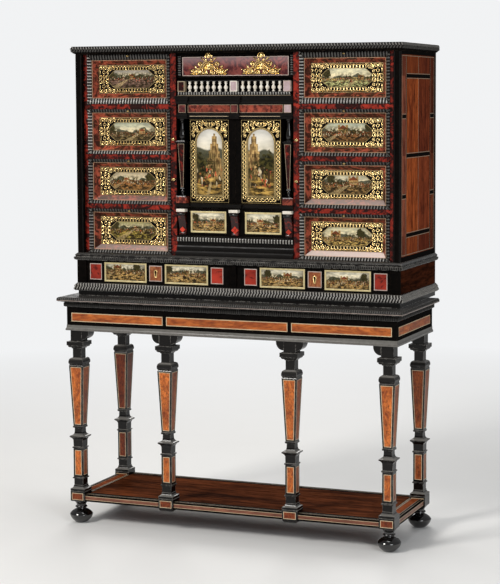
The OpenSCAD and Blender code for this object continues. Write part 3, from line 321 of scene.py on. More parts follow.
def build_picture_group():
    """Generic landscape: sky, hills, a house, groves, ground with a track, a large tree, small
    figures and, where Tower is 1, a tall spire. The seed sets where they stand."""
    tree, given, out = new_group(
        "Small Landscape",
        {"Vector": VECTOR, "Seed": 0.0, "Horizon": 0.5, "Breadth": 2.5, "Tower": 0.0,
         "Sky": COLOUR, "Ground": COLOUR, "Soil": COLOUR},
        {"Colour": COLOUR, "Paint": FLOAT})
    across, up, _ = split(given["Vector"])
    breadth, seed, horizon, spired = (given[label] for label in
                                      ("Breadth", "Seed", "Horizon", "Tower"))
    wide = across * breadth
    scale = calc("MINIMUM", breadth * 0.8, 1.0)
    flat = wire(tree, "CombineXYZ", 0, {0: wide, 1: up, 2: seed})
    brush = noise(flat, 17.0, 5.0, 0.72)
    strokes = noise(stretched(flat, (1.0, 3.4, 1.0)), 8.0, 4.0, 0.7)
    clouds = spread(noise(stretched(flat, (1.0, 2.6, 1.0)), 3.2, 4.0), 0.4, 0.66)
    crowns = noise(flat, 7.5, 5.0, 0.72)

    def skyline(frequency, detail, shift, swing, base):
        line = wire(tree, "TexNoise", 0, {"W": wide * frequency + (seed + shift), "Scale": 1.0,
                                          "Detail": detail}, noise_dimensions="1D")
        return spread((line - 0.5) * swing * scale + base + horizon - up, -0.012, 0.012)

    def chance(factor, low, high):
        return spread(calc("FRACT", seed * factor), 0.0, 1.0, low, high)

    view = mixed(spread(up, horizon, 1.0), (0.8, 0.66, 0.4), given["Sky"])
    view = mixed(clouds * (0.6 - spired * 0.3), view, (0.2, 0.21, 0.18))
    hills = skyline(1.3, 2.0, 3.0, spired * 0.9 + 0.6, spired * 0.2 + 0.07)
    view = mixed(hills, view, (0.085, 0.085, 0.055))
    near = mixed(spread(brush, 0.4, 0.6), (0.015, 0.01, 0.004), given["Ground"])
    view = mixed(skyline(2.4, 3.0, 11.0, 0.34, -0.03), view, near)

    house_x = chance(0.37, 0.22, 0.78)
    off_axis = abs(across - house_x) * breadth
    big = scale * chance(0.53, 0.75, 1.35)
    aside = off_axis / big
    above = (up - (horizon - 0.12)) / big
    wall = (aside < 0.2) * between(above, -0.02, 0.17)
    tower = between(aside - 0.22, -0.1, 0.0) * between(above, 0.0, 0.34)
    roof = (above < 0.34 - aside * 0.75) * (aside < 0.24) * (above > 0.165)
    panes = (between(calc("PINGPONG", aside, 0.055), 0.018, 0.04)
             * between(above, 0.04, 0.11) * (aside < 0.18))
    stone = mixed(spread(brush, 0.4, 0.6), (0.16, 0.085, 0.028), (0.6, 0.38, 0.14))
    view = mixed(either(wall, tower), view, stone)
    view = mixed(roof, view, (0.2, 0.05, 0.02))
    view = mixed(panes, view, (0.035, 0.02, 0.012))

    storeys = up * 9.0
    outline_x = spread(calc("FLOOR", storeys) * 0.111, 0.22, 0.9, 0.17, 0.012)
    spire = (off_axis < outline_x) * between(up, 0.2, 0.93) * spired
    ribs = noise(stretched(flat, (3.0, 0.5, 1.0)), 13.0, 3.0, 0.7)
    masonry = mixed(spread(ribs, 0.38, 0.62), (0.09, 0.04, 0.014), (0.62, 0.4, 0.15))
    view = mixed(spire, view, masonry)
    arches = (between(calc("PINGPONG", off_axis + 0.012, 0.03), 0.016, 0.026)
              * between(calc("FRACT", storeys), 0.2, 0.66))
    view = mixed(arches * spire * 0.85, view, (0.03, 0.015, 0.008))

    grove = spread(noise(stretched(flat, (1.0, 0.25, 1.0)), 2.6, 1.0), 0.41, 0.5)
    band = spread(abs(up - horizon), 0.34, 0.06)
    leaf = mixed(spread(brush, 0.42, 0.64), (0.007, 0.008, 0.003), (0.075, 0.062, 0.016))
    view = mixed(spread(crowns, 0.44, 0.52) * grove * band, view, leaf)

    soil = mixed(spread(strokes, 0.42, 0.6), (0.012, 0.008, 0.003), given["Soil"])
    patches = spread(noise(stretched(flat, (1.0, 2.0, 1.0)), 4.5, 2.0), 0.4, 0.6)
    fore = spread(horizon - 0.16 - up, -0.03, 0.03)
    view = mixed(fore, view, mixed(patches, (0.022, 0.014, 0.006), soil))
    track = abs(across - ((up - horizon) * 0.6 + house_x)) < (horizon - up) * 0.16
    view = mixed(track * fore * spread(brush, 0.4, 0.6, 0.1, 0.75), view, (0.52, 0.38, 0.18))

    tree_x = calc("FRACT", chance(0.37, 0.3, 0.7) + chance(0.91, 0.36, 0.6))
    tree_up = scale * 0.2 + horizon
    beside, over = (across - tree_x) * breadth, up - tree_up
    ragged = calc("SQRT", beside * beside + over * over) + (crowns - 0.5) * 0.5
    crown = spread(breadth * 0.045 + 0.12 - ragged, -0.01, 0.02)
    trunk = (abs(beside) < 0.016) * (up < tree_up) * (up > horizon - 0.24)
    view = mixed(trunk, view, (0.05, 0.026, 0.012))
    view = mixed(crown, view, leaf)

    people = noise(stretched(flat, (1.0, 0.32, 1.0)), 21.0, 1.0)
    others = noise(stretched(flat, (1.0, 0.5, 1.0), (3.0, 5.0, 0.0)), 24.0, 1.0)
    street = spread(abs(up - (horizon - 0.14)), 0.16, 0.1)
    for crowd, low, high, dress in ((people, 0.56, 0.6, (0.02, 0.012, 0.008)),
                                    (people, 0.645, 0.665, (0.62, 0.5, 0.3)),
                                    (others, 0.64, 0.67, (0.5, 0.1, 0.04))):
        view = mixed(spread(crowd, low, high) * street, view, dress)

    corner = calc("POWER", abs(across - 0.5), 3.0) + calc("POWER", abs(up - 0.5), 3.0)
    view = mixed(spread(corner, 0.02, 0.2, 0.0, 0.7), view, (0.05, 0.035, 0.015))
    feed(out["Colour"], view)
    feed(out["Paint"], brush)


# Finishes

class Finish:
    """Material with one Principled shader, whose fixed values are set on the shader itself."""

    def __init__(self, name, metallic=0.0, coat=0.0, coat_rough=0.2, specular=0.5, roughness=0.5):
        self.material = bpy.data.materials.new(name)
        self.material.use_nodes = True
        self.tree = self.material.node_tree
        self.shader = self.tree.nodes["Principled BSDF"]
        for label, value in (("Roughness", roughness), ("Metallic", metallic),
                             ("Coat Weight", coat), ("Coat Roughness", coat_rough),
                             ("Specular IOR Level", specular)):
            self.shader.inputs[label].default_value = value
        self.place = wire(self.tree, "TexCoord", "Object")

    def paint(self, colour, height, relief):
        """Colour, and a fine relief of the given depth in metres."""
        feed(self.shader.inputs["Base Color"], colour)
        feed(self.shader.inputs["Normal"],
             wire(self.tree, "Bump", 0, {"Height": height, "Distance": relief, "Strength": 1.0}))

    def polish(self, low, high):
        """Uneven roughness between low and high; returns the mask of the dust on ledges."""
        old = grouped(self.tree, "Old Polish", {"Low": low, "High": high})
        feed(self.shader.inputs["Roughness"], old["Roughness"])
        return old["Dust"]

    def worn(self, radius, amount):
        return grouped(self.tree, "Edge Wear", {"Radius": radius, "Amount": amount})["Mask"]

    def ebony(self, wear):
        """Black wood with a faint grain, worn edges and some dust; returns colour and grain."""
        tones = colours()
        grain = noise(self.place, 90.0, 5.0, 0.65, 0.4)
        base = mixed(spread(grain, 0.4, 0.75), tones.ebony, (0.006, 0.0045, 0.0038))
        base = mixed(self.worn(0.0011, wear), base, tones.ebony_worn)
        return mixed(self.polish(0.2, 0.36) * 0.06, base, (0.2, 0.18, 0.16)), grain

    def wood(self, light, dark, stretch, streak, curl, cloud, depth, place=None):
        """Figured wood, long where the stretch is small; returns its colour and grain."""
        wood = grouped(self.tree, "Wood Figure", {
            "Vector": stretched(place or self.place, stretch), "Light": light, "Dark": dark,
            "Streak": streak, "Curl": curl, "Cloud": cloud, "Depth": depth})
        return wood["Colour"], wood["Grain"]

    def shell(self, red, black, cover):
        """Tortoiseshell; returns its colour and the mask of its dark clouds."""
        shell = grouped(self.tree, "Tortoiseshell",
                        {"Vector": self.place, "Red": red, "Black": black, "Cover": cover})
        return shell["Colour"], shell["Mottle"]


def box_wood():
    """Tones and figure of the plain wood inside the drawers, for Finish.wood."""
    tone = colours().drawer_wood
    return tone, shaded(tone, 0.5), (1.0, 0.12, 1.0), 60.0, 0.4, 12.0, 0.3


def make_ebony(name):
    """Ebonised wood of the carcass"""
    finish = Finish(name, coat=0.035, specular=0.0)
    finish.paint(*finish.ebony(0.8), 0.00012)


def make_polished_ebony(name, crest_wear_and_sheen, low, high, shine=0.5, edges=0.0, ledge=0.15):
    """Glossy black of turned pieces and mouldings; crests and edges are worn paler and carry a
    painted highlight, and ledges take painted light.
    """
    finish = Finish(name, specular=shine)
    base, grain = finish.ebony(0.3)
    # Paler crests: partly wear, partly a painted highlight.
    cover = spread(grain, 0.3, 0.7, crest_wear_and_sheen, crest_wear_and_sheen * 0.7)
    if edges:
        # Painted light: paler edges (wear and a painted highlight) and paler faces that look up.
        upward = spread(split(true_normal(finish.tree))[2], 0.2, 0.9, 0.0, ledge)
        cover = either(cover, either(finish.worn(0.003, edges), upward))
    finish.paint(mixed(cover, base, colours().crest), grain, 0.00004)
    finish.polish(low, high)


def make_wood(name, figure, low=0.3, high=0.48, coat=0.05, shine=0.25, dusty=0.12):
    """Veneer or plain wood; figure holds the arguments of Finish.wood."""
    finish = Finish(name, coat=coat, specular=shine)
    colour, grain = finish.wood(*figure)
    dust = finish.polish(low, high)
    finish.paint(mixed(dust * dusty, colour, (0.25, 0.22, 0.18)), grain, 0.00015)
    return finish


def paint_shade_on_legs(burl):
    """Painted shade on the burl: redder and darker on the side faces and on the back legs, the back
    left leg most, and also on the low corner blocks.
    """
    base = burl.shader.inputs["Base Color"]
    x, y, z = split(burl.place)
    # Painted shade: the side faces and the back legs are darkened; the low blocks are darkened too.
    side = (abs(split(true_normal(burl.tree))[0]) > 0.9) * 0.5
    low = (z < 0.11) * 0.85
    back = (y > 0.0) * spread(x, -0.5, 0.5, 0.95, 0.6)
    tint = mixed(either(side, either(low, back)), (1.0, 1.0, 1.0), (0.3, 0.19, 0.26))
    feed(base, mixed(1.0, Wire(base.links[0].from_socket), tint, "MULTIPLY"))


def make_shell(name, cover, glow=1.0, pair=None, sheen=None):
    """Tortoiseshell in a pair of tones; sheen is a painted pale sheen, given as (height where it
    starts, where it is full, strength)."""
    red, black = pair or (colours().shell_red, colours().shell_black)
    finish = Finish(name, coat=0.25, coat_rough=0.08, specular=0.2)
    tone, mottle = finish.shell(shaded(red, glow), black, cover)
    # Painted sheen: paler towards the top.
    if sheen:
        start, full, strength = sheen
        tone = mixed(spread(split(finish.place)[2], start, full, 0.0, strength), tone,
                     (0.42, 0.33, 0.34))
    finish.paint(tone, mottle, 0.0001)
    finish.polish(0.16, 0.3)


def make_brass(name, low, high, tarnish):
    tones = colours()
    finish = Finish(name, metallic=1.0)
    clouds = spread(noise(finish.place, 55.0, 4.0, 0.65), 0.4, 0.72)
    tone = mixed(spread(clouds, 0.0, 1.0, tarnish - 0.35, tarnish), tones.gilt, tones.gilt_deep)
    near = wire(finish.tree, "AmbientOcclusion", "AO", {"Distance": 0.004}, samples=4)
    tone = mixed(spread(near, 0.25, 0.75, 1.0, 0.0) * 0.6, tone, tones.gilt_deep)
    finish.paint(tone, noise(finish.place, 380.0), 0.0005)
    finish.polish(low, high)


def make_pale(name, tone, low, high, metallic=0.0):
    """Bone, pewter or pale wood, lightly stained."""
    finish = Finish(name, metallic=metallic)
    stain = spread(noise(finish.place, 70.0, 4.0, 0.6), 0.35, 0.7)
    stained = tuple(value * factor for value, factor in zip(tone, (0.62, 0.52, 0.4)))
    finish.paint(mixed(stain * 0.6, tone, stained), stain, 0.00008)
    finish.polish(low, high)


def make_picture(name, centre, width, height, seed, horizon, tints, tower=0.0):
    """Small painted plate; tints are the colours of its sky and ground."""
    sky, ground = tints
    finish = Finish(name, coat=0.05, coat_rough=0.16, specular=0.08)
    x, _, z = split(finish.place)
    across = spread(x, centre[0] - width / 2, centre[0] + width / 2)
    up = spread(z, centre[1] - height / 2, centre[1] + height / 2)
    view = grouped(finish.tree, "Small Landscape", {
        "Vector": wire(finish.tree, "CombineXYZ", 0, {0: across, 1: up}), "Seed": seed,
        "Horizon": horizon, "Breadth": width / height, "Tower": tower, "Sky": sky,
        "Ground": ground, "Soil": shaded(ground, 2.7)})
    finish.paint(view["Colour"], view["Paint"], 0.00015)
    finish.polish(0.3, 0.45)
    return name


def make_side_drawer(name, front_end):
    """Drawer front: black band, tortoiseshell slope, plain wood box behind the front. The upward
    slopes of the lower rows carry a painted pale sheen, stronger to the right.
    """
    finish = Finish(name, coat=0.12, coat_rough=0.1, specular=0.05)
    x, y, z = split(finish.place)
    _, facing, upward = split(true_normal(finish.tree))
    behind = y > front_end
    slope = between(facing, -0.85, -0.2) * (1.0 - behind)
    base, grain = finish.ebony(0.5)
    veneer, _ = finish.shell((0.41, 0.09, 0.05), (0.05, 0.017, 0.011), 0.64)
    # Painted sheen: pale pink on slopes that face up, growing towards the lower rows and the right.
    painted_slope_sheen = spread(z, 1.2, 0.94, 0.0, 0.9) * spread(x, -0.5, 0.5, 0.3, 1.0)
    painted_slope_sheen = painted_slope_sheen * spread(upward, 0.1, 0.3)
    tone = mixed(slope, base, mixed(painted_slope_sheen, veneer, (0.84, 0.7, 0.65)))
    finish.paint(mixed(behind, tone, finish.wood(*box_wood())[0]), grain, 0.0001)


def make_front_and_box(name, front_end):
    """Black front and plain wood box, for the other drawers and the door leaves."""
    finish = Finish(name, specular=0.02)
    base, grain = finish.ebony(0.6)
    behind = split(finish.place)[1] > front_end
    finish.paint(mixed(behind, base, finish.wood(*box_wood())[0]), grain, 0.0001)


def make_plinth_tier(name):
    """Rosewood on the outer side faces of the plinth tier, black elsewhere."""
    finish = Finish(name, coat=0.02, specular=0.0)
    x, y, _ = split(finish.place)
    outer = (abs(split(true_normal(finish.tree))[0]) > 0.9) * (abs(x) > 0.5635) * (y > -0.1438)
    base, grain = finish.ebony(0.6)
    wood, _ = finish.wood((0.078, 0.019, 0.007), shaded(colours().rose_dark, 0.3),
                          (1.0, 0.14, 1.0), 34.0, 1.0, 9.0, 0.5)
    finish.paint(mixed(outer, base, wood), grain, 0.0001)


def make_side_parquetry(name):
    """Upright boards of the case side, each with its own tone."""
    tones = colours()
    finish = Finish(name, coat=0.06, specular=0.0)
    _, y, z = split(finish.place)
    low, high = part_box("side_panels")
    board = ((y > low.y + SIDE_EDGE) + (y > (low.y + high.y) / 2)) + (y > high.y - SIDE_EDGE)
    first, second, third = (z > height for height in SIDE_BARS)
    number = board * 1.7 + (first + second + third) * 5.3
    colour, grain = finish.wood(tones.side_light, tones.side_dark, (1.0, 1.0, 0.16),
                                36.0, 1.4, 6.0, 0.6, shifted(finish.place, number))
    tint = mixed(spread(board, 0.0, 1.0), (1.25, 1.5, 2.3), (1.75, 1.6, 1.1))
    tint = mixed(spread(board, 1.0, 2.0), tint, (1.0, 0.85, 0.8))
    tint = mixed(spread(board, 2.0, 3.0), tint, (0.6, 0.6, 0.7))
    tone = mixed(1.0, colour, tint, "MULTIPLY")
    finish.paint(mixed(either(third, 1.0 - first) * 0.5, tone, tones.side_dark), grain, 0.00015)
    finish.polish(0.25, 0.42)


def make_back_boards(name):
    """Upright plain boards, with the joints between them."""
    finish = Finish(name, specular=0.3)
    board = split(finish.place)[0] / 0.188
    joint = spread(abs(calc("FRACT", board) - 0.5), 0.485, 0.497)
    tone = colours().back_wood
    colour, grain = finish.wood(tone, shaded(tone, 0.42), (1.0, 1.0, 0.1), 46.0, 0.7, 7.0, 0.35,
                                shifted(finish.place, calc("FLOOR", board)))
    finish.paint(mixed(joint, colour, (0.012, 0.008, 0.005)), grain - joint, 0.0006)
    finish.polish(0.55, 0.75)


# Modelling

def edit_all():
    """Enter edit mode with everything selected."""
    bpy.ops.object.mode_set(mode="EDIT")
    bpy.ops.mesh.select_all(action="SELECT")


def leave_edit():
    if bpy.context.object and bpy.context.object.mode != "OBJECT":
        bpy.ops.object.mode_set(mode="OBJECT")


def select_mode(kind):
    kinds = ("VERT", "EDGE", "FACE")
    bpy.context.tool_settings.mesh_select_mode = [kind == each for each in kinds]


def clear_selection():
    leave_edit()
    bpy.ops.object.select_all(action="DESELECT")


def take(*shapes):
    """Select these objects alone, the first as the active one."""
    clear_selection()
    for shape in shapes:
        shape.select_set(True)
    bpy.context.view_layer.objects.active = shapes[0]


def added(name):
    """The object that the last operator added, under its name."""
    shape = bpy.context.object
    shape.name = name
    return shape


def discard(*shapes):
    for shape in shapes:
        bpy.data.objects.remove(shape)


def extrude(*step):
    """In edit mode, extrude what is selected by the step."""
    bpy.ops.mesh.extrude_region_move(TRANSFORM_OT_translate={"value": step})


def pick(shape, kind, test):
    """Select the vertices, edges or faces that pass the test, and enter edit mode."""
    leave_edit()
    mesh = shape.data
    groups = {"VERT": mesh.vertices, "EDGE": mesh.edges, "FACE": mesh.polygons}
    for group in groups.values():
        for part in group:
            part.select = False
    for part in groups[kind]:
        part.select = bool(test(part))
    select_mode(kind)
    bpy.ops.object.mode_set(mode="EDIT")


def outline(name, points):
    """Wire drawn point by point with extrude, left in edit mode and selected."""
    clear_selection()
    bpy.ops.mesh.primitive_plane_add(size=MM)
    shape = added(name)
    select_mode("VERT")
    edit_all()
    bpy.ops.mesh.merge(type="CENTER")
    bpy.ops.transform.translate(value=points[0])
    for here, there in zip(points, points[1:]):
        extrude(*(Vector(there) - Vector(here)))
    bpy.ops.mesh.select_all(action="SELECT")
    return shape


def face_of(name, points):
    """Flat face with the given corners, in edit mode and selected."""
    shape = outline(name, points)
    bpy.ops.mesh.edge_face_add()
    return shape


def upright(points, y=0):
    """Points (x, z) of an upright plane that faces the front."""
    return [(x, y, z) for x, z in points]


def rectangle(low, high):
    return [low, (high[0], low[1]), high, (low[0], high[1])]


def faces_outward():
    """In edit mode, turn all faces outwards."""
    bpy.ops.mesh.select_all(action="SELECT")
    bpy.ops.mesh.normals_make_consistent(inside=False)
    leave_edit()


def tidy_shell(shape, smooth=None):
    """Merge doubles, turn the faces outwards and shade smooth below an angle in degrees."""
    take(shape)
    edit_all()
    bpy.ops.mesh.remove_doubles(threshold=1e-6)
    faces_outward()
    if smooth:
        bpy.ops.object.shade_smooth_by_angle(angle=math.radians(smooth))
    return shape


def settle(shape, location=None, turn=None, scale=None):
    """Move, turn (Euler degrees) and scale a shape, and apply it."""
    take(shape)
    if location:
        shape.location = location
    if turn:
        shape.rotation_euler = [math.radians(angle) for angle in turn]
    if scale:
        shape.scale = scale
    bpy.ops.object.transform_apply(location=True, rotation=True, scale=True)
    return shape


def copied(source, name, move=(0, 0, 0), scale=None, turn=None):
    """Copy with its own mesh, scaled (a negative factor mirrors), turned and moved."""
    take(source)
    bpy.ops.object.duplicate(linked=False)
    twin = settle(added(name), move, turn, scale)
    if scale and scale[0] * scale[1] * scale[2] < 0:
        edit_all()
        faces_outward()
    return twin


def joined(name, shapes):
    take(*shapes)
    if len(shapes) > 1:
        bpy.ops.object.join()
    return added(name)


def modified(shape, kind, **settings):
    """Add a modifier, set it and apply it."""
    take(shape)
    bpy.ops.object.modifier_add(type=kind)
    modifier = shape.modifiers[-1]
    for key, value in settings.items():
        setattr(modifier, key, value)
    bpy.ops.object.modifier_apply(modifier=modifier.name)
    return shape


def repeated(shape, count, step):
    """Row of copies along X, merged where they meet."""
    return modified(shape, "ARRAY", fit_type="FIXED_COUNT", count=count, use_relative_offset=False,
                    use_constant_offset=True, constant_offset_displace=(step, 0, 0),
                    use_merge_vertices=True, merge_threshold=1e-5)


def give(shape, *finishes):
    for finish in finishes:
        shape.data.materials.append(bpy.data.materials[finish])


def fit(piece, body, finish=None, instead_of=()):
    """Settle a finished piece, give it its finish and let it ride on its body."""
    settle(piece)
    if finish:
        piece.data.materials.clear()
        give(piece, finish)
    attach(piece, body)
    if instead_of:
        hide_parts(*instead_of)


def fit_copy(model, name, spot, body, finish=None, instead_of=(), scale=None):
    """Fit a copy of the model, moved to its spot."""
    fit(copied(model, name, spot, scale), body, finish, instead_of)


def turned(name, profile, steps=None, smooth=40):
    """Turned piece: profile of (radius, height) in millimetres, spun about the upright axis."""
    shape = outline(name, upright([(radius * MM, height * MM) for radius, height in profile]))
    bpy.ops.mesh.spin(steps=steps or sizes().turned_steps, angle=2 * math.pi,
                      center=(0, 0, 0), axis=(0, 0, 1))
    leave_edit()
    return tidy_shell(shape, smooth)


def slab(name, corners, thickness):
    """Thin plate, half on each side of the face with these corners."""
    shape = face_of(name, corners)
    leave_edit()
    return modified(shape, "SOLIDIFY", thickness=thickness, offset=0)


def rim(name, corners, width, thickness):
    """Flat band inside an outline: face, inset, middle taken out, thickened."""
    shape = face_of(name, corners)
    bpy.ops.mesh.inset(thickness=width, depth=0)
    bpy.ops.mesh.delete(type="ONLY_FACE")
    leave_edit()
    return modified(shape, "SOLIDIFY", thickness=thickness, offset=0)


def string_frame(name, corners, width=None, rise=None):
    """Pale line that runs round a panel."""
    return tidy_shell(rim(name, corners, width or sizes().string_width,
                          2 * (rise or sizes().string_rise)))


def bar(name, low, high, soften=0.0):
    """Strip or block between two corners, with its edges eased."""
    clear_selection()
    low, high = Vector(low), Vector(high)
    bpy.ops.mesh.primitive_cube_add(size=1, location=(low + high) / 2)
    shape = added(name)
    shape.scale = high - low
    settle(shape)
    if soften:
        edit_all()
        bpy.ops.mesh.bevel(offset=soften, segments=2, affect="EDGES")
        leave_edit()
    return shape


def strip(name, start, end, half, soften=0.0):
    """Bar along the way from start to end, with these half widths on the three axes."""
    return bar(name, [a - h for a, h in zip(start, half)], [b + h for b, h in zip(end, half)],
               soften)


def framed_plate(name, low, high, border, sink, finishes, soften=0.0004):
    """Plate that faces the front: raised border (first finish) round a sunk middle (second)."""
    shape = bar(name, low, high)
    give(shape, *finishes)
    front = low[1]
    pick(shape, "FACE", lambda face: face.normal.y < -0.9)
    bpy.ops.mesh.inset(thickness=border, depth=0)
    extrude(0, sink, 0)
    leave_edit()
    points = shape.data.vertices
    pick(shape, "EDGE", lambda edge: all(abs(points[v].co.y - front) < 1e-6
                                         for v in edge.vertices))
    bpy.ops.mesh.bevel(offset=soften, segments=2, affect="EDGES")
    leave_edit()
    inner = border * 0.9
    for face in shape.data.polygons:
        x, y, z = face.center
        middle = (low[0] + inner < x < high[0] - inner and low[2] + inner < z < high[2] - inner
                  and y > front + sink / 2 and face.normal.y < -0.9)
        face.material_index = int(middle)
    return shape


def lean(shape, slant):
    """Slide each level of one wave along X, so that the ripples slant."""
    first, *levels = sorted({round(vertex.co.z, 6) for vertex in shape.data.vertices})
    for level in levels:
        pick(shape, "VERT", lambda vertex: abs(vertex.co.z - level) < 1e-5)
        bpy.ops.transform.translate(value=(slant * (level - first), 0, 0))
        leave_edit()


def section_at(bottom, points):
    """Section of a moulding in metres, from (height up, distance outwards) in millimetres."""
    return [(bottom + up * MM, out * MM) for up, out in points]


def ripple_run(name, section, length, pitch, rise, slant=0.0, crests="Worn crests, painted sheen"):
    """Rippled moulding along X, centred: one wave is drawn, then repeated.
    The section is a closed outline of (height up, distance outwards)."""
    waves = math.ceil(length / pitch) + 2
    start = -waves * pitch / 2
    shape = face_of(name, [(start, -out, up) for up, out in section])
    for share, half in ((0.3, -0.45), (0.2, -0.55), (0.2, 0.55), (0.3, 0.45)):
        extrude(pitch * share, half * rise, 0)
    pick(shape, "FACE", lambda face: abs(face.normal.x) > 0.95
         and min(abs(face.center.x - start), abs(face.center.x - start - pitch)) < 1e-6)
    bpy.ops.mesh.delete(type="ONLY_FACE")
    leave_edit()
    give(shape, "Rippled ebony", crests)
    # The middle faces of each wave take the crest finish, whose paleness is partly a painted
    # highlight.
    for face in shape.data.polygons:
        face.material_index = int(abs((face.center.x - start) / pitch - 0.5) < 0.2)
    if slant:
        lean(shape, slant)
    return repeated(shape, waves, pitch)


def cut(shape, *planes):
    """Bisect at each plane (point, normal), and drop what lies beyond it."""
    take(shape)
    for point, normal in planes:
        edit_all()
        bpy.ops.mesh.bisect(plane_co=point, plane_no=normal, use_fill=True, clear_outer=True)
        leave_edit()
    return shape


def trimmed_run(name, section, length, pitch, rise, crests="Worn crests, painted sheen"):
    """Straight rippled moulding along X, centred and cut to its length."""
    run = ripple_run(name, section, length, pitch, rise, crests=crests)
    return cut(run, ((length / 2, 0, 0), (1, 0, 0)), ((-length / 2, 0, 0), (-1, 0, 0)))


def ripple_belt(name, section, half_width, front, back, pitch, rise, slant, crests):
    """Rippled moulding round the front and both ends of a case, mitred at the corners."""
    reach = max(out for _, out in section) + rise
    face = ripple_run(name, section, 2 * (half_width + reach), pitch, rise, slant, crests)
    settle(face, (0, front, 0))
    cut(face, ((half_width, front, 0), (1, 1, 0)), ((-half_width, front, 0), (-1, 1, 0)))
    side = ripple_run(name + "_end", section, back - front + 2 * reach, pitch, rise, slant, crests)
    settle(side, (half_width, (front + back) / 2, 0), (0, 0, 90))
    cut(side, ((half_width, front, 0), (-1, -1, 0)), ((half_width, back, 0), (0, 1, 0)))
    other = copied(side, name + "_far_end", scale=(-1, 1, 1))
    return tidy_shell(joined(name, [face, side, other]), 60)


def ripple_frame(name, width, height, sections, bands, pitch, rise):
    """Four mitred ripple runs round an opening; sections and bands for (rails, stiles)."""
    runs = []
    # Painted light: the bottom and left bands get the bright crest sheen, the top and right bands
    # the dim one.
    sides = ((0, (0, 0, -height / 2), "Bright crests"), (-90, (width / 2, 0, 0), "Dim crests"),
             (180, (0, 0, height / 2), "Dim crests"), (90, (-width / 2, 0, 0), "Bright crests"))
    for index, (angle, spot, crests) in enumerate(sides):
        kind = index % 2
        length = height if kind else width
        run = ripple_run(name, sections[kind], length, pitch, rise, crests=crests)
        this, other = bands[kind], bands[1 - kind]
        cut(run, ((length / 2, 0, 0), (this, 0, other)), ((-length / 2, 0, 0), (-this, 0, other)))
        runs.append(settle(run, spot, (0, angle, 0)))
    return tidy_shell(joined(name, runs), 60)


def ahead(heading, length):
    """Step in the upright plane; the heading is in degrees, from +X upwards."""
    angle = math.radians(heading)
    return math.cos(angle) * length, 0, math.sin(angle) * length


def disc(name, spot, heading, radius, depth=0.0):
    """Six-sided disc that faces along its heading, in edit mode and selected."""
    clear_selection()
    bpy.ops.mesh.primitive_circle_add(
        vertices=6, radius=radius, fill_type="NGON", location=(spot[0], depth, spot[1]),
        rotation=(0, math.radians(90 - heading), 0))
    shape = added(name)
    select_mode("FACE")
    settle(shape)
    edit_all()
    return shape


def rod(name, start, heading, bends, radius, bud=True, depth=0.0):
    """Scroll drawn like wire in the upright plane. A bend is (radius, degrees), positive to the
    left as seen from the front, or (0, length) for a straight stretch."""
    x, z = start
    shape = disc(name, start, heading, radius, depth)
    for bend, amount in bends:
        if bend == 0:
            step = ahead(heading, amount)
            extrude(*step)
            x, z = x + step[0], z + step[2]
            continue
        side = math.copysign(bend, amount)
        out = ahead(heading, side)
        centre_x, centre_z = x - out[2], z + out[0]
        bpy.ops.mesh.spin(steps=max(2, round(abs(amount) / 24)), angle=math.radians(amount),
                          center=(centre_x, depth, centre_z), axis=(0, 1, 0))
        heading += amount
        out = ahead(heading, side)
        x, z = centre_x + out[2], centre_z - out[0]
    if bud:
        for size in (1.65, 1.0, 0.45):
            extrude(*ahead(heading, radius * 0.9))
            bpy.ops.transform.resize(value=(size, size, size))
    leave_edit()
    return shape


def volute(name, centre, radius, start_angle, turn, thickness):
    """Scroll that winds inwards in three stretches; turn is 1 to the left, -1 to the right."""
    out = ahead(start_angle, radius)
    return rod(name, (centre[0] + out[0], centre[1] + out[2]), start_angle + 90 * turn,
               [(radius, 170 * turn), (radius * 0.68, 150 * turn), (radius * 0.4, 120 * turn)],
               thickness)


def curls(*scrolls):
    """Volutes given by (centre, radius, start angle, turn, thickness as a share of the rod)."""
    return [volute("curl", *scroll, sizes().rod * heft) for *scroll, heft in scrolls]


def petal(name, start, heading, length, width):
    """Leaf that swells and ends in a point."""
    shape = disc(name, start, heading, width * 0.16)
    thinning = 0.0056 / width
    for part, size in ((0.3, 2.0), (0.3, 1.55), (0.22, 0.72), (0.18, 0.12)):
        extrude(*ahead(heading, length * part))
        bpy.ops.transform.resize(value=(size, 1 + (size - 1) * thinning, size))
    leave_edit()
    return shape


def chain(start, heading, count, chord, radius):
    """Two wires that cross again and again and leave oval eyes."""
    swing = 76
    bend = chord / (2 * math.sin(math.radians(swing)))
    return [rod("chain", start, heading + away,
                [(bend, 2 * away * (-1) ** (index + 1)) for index in range(count)], radius, False)
            for away in (swing, -swing)]


def arch_points(half, foot, spring, steps=24):
    """Outline of an arched plate: a half circle over a rectangle."""
    arc = [(half * math.cos(math.pi * k / steps), spring + half * math.sin(math.pi * k / steps))
           for k in range(steps + 1)]
    return upright([(-half, foot), (half, foot)] + arc)


# Operators

class CabinetOperator:
    """What all operators of the cabinet share"""

    bl_options = {"REGISTER", "UNDO"}

    def execute(self, context):
        self.build()
        return {"FINISHED"}


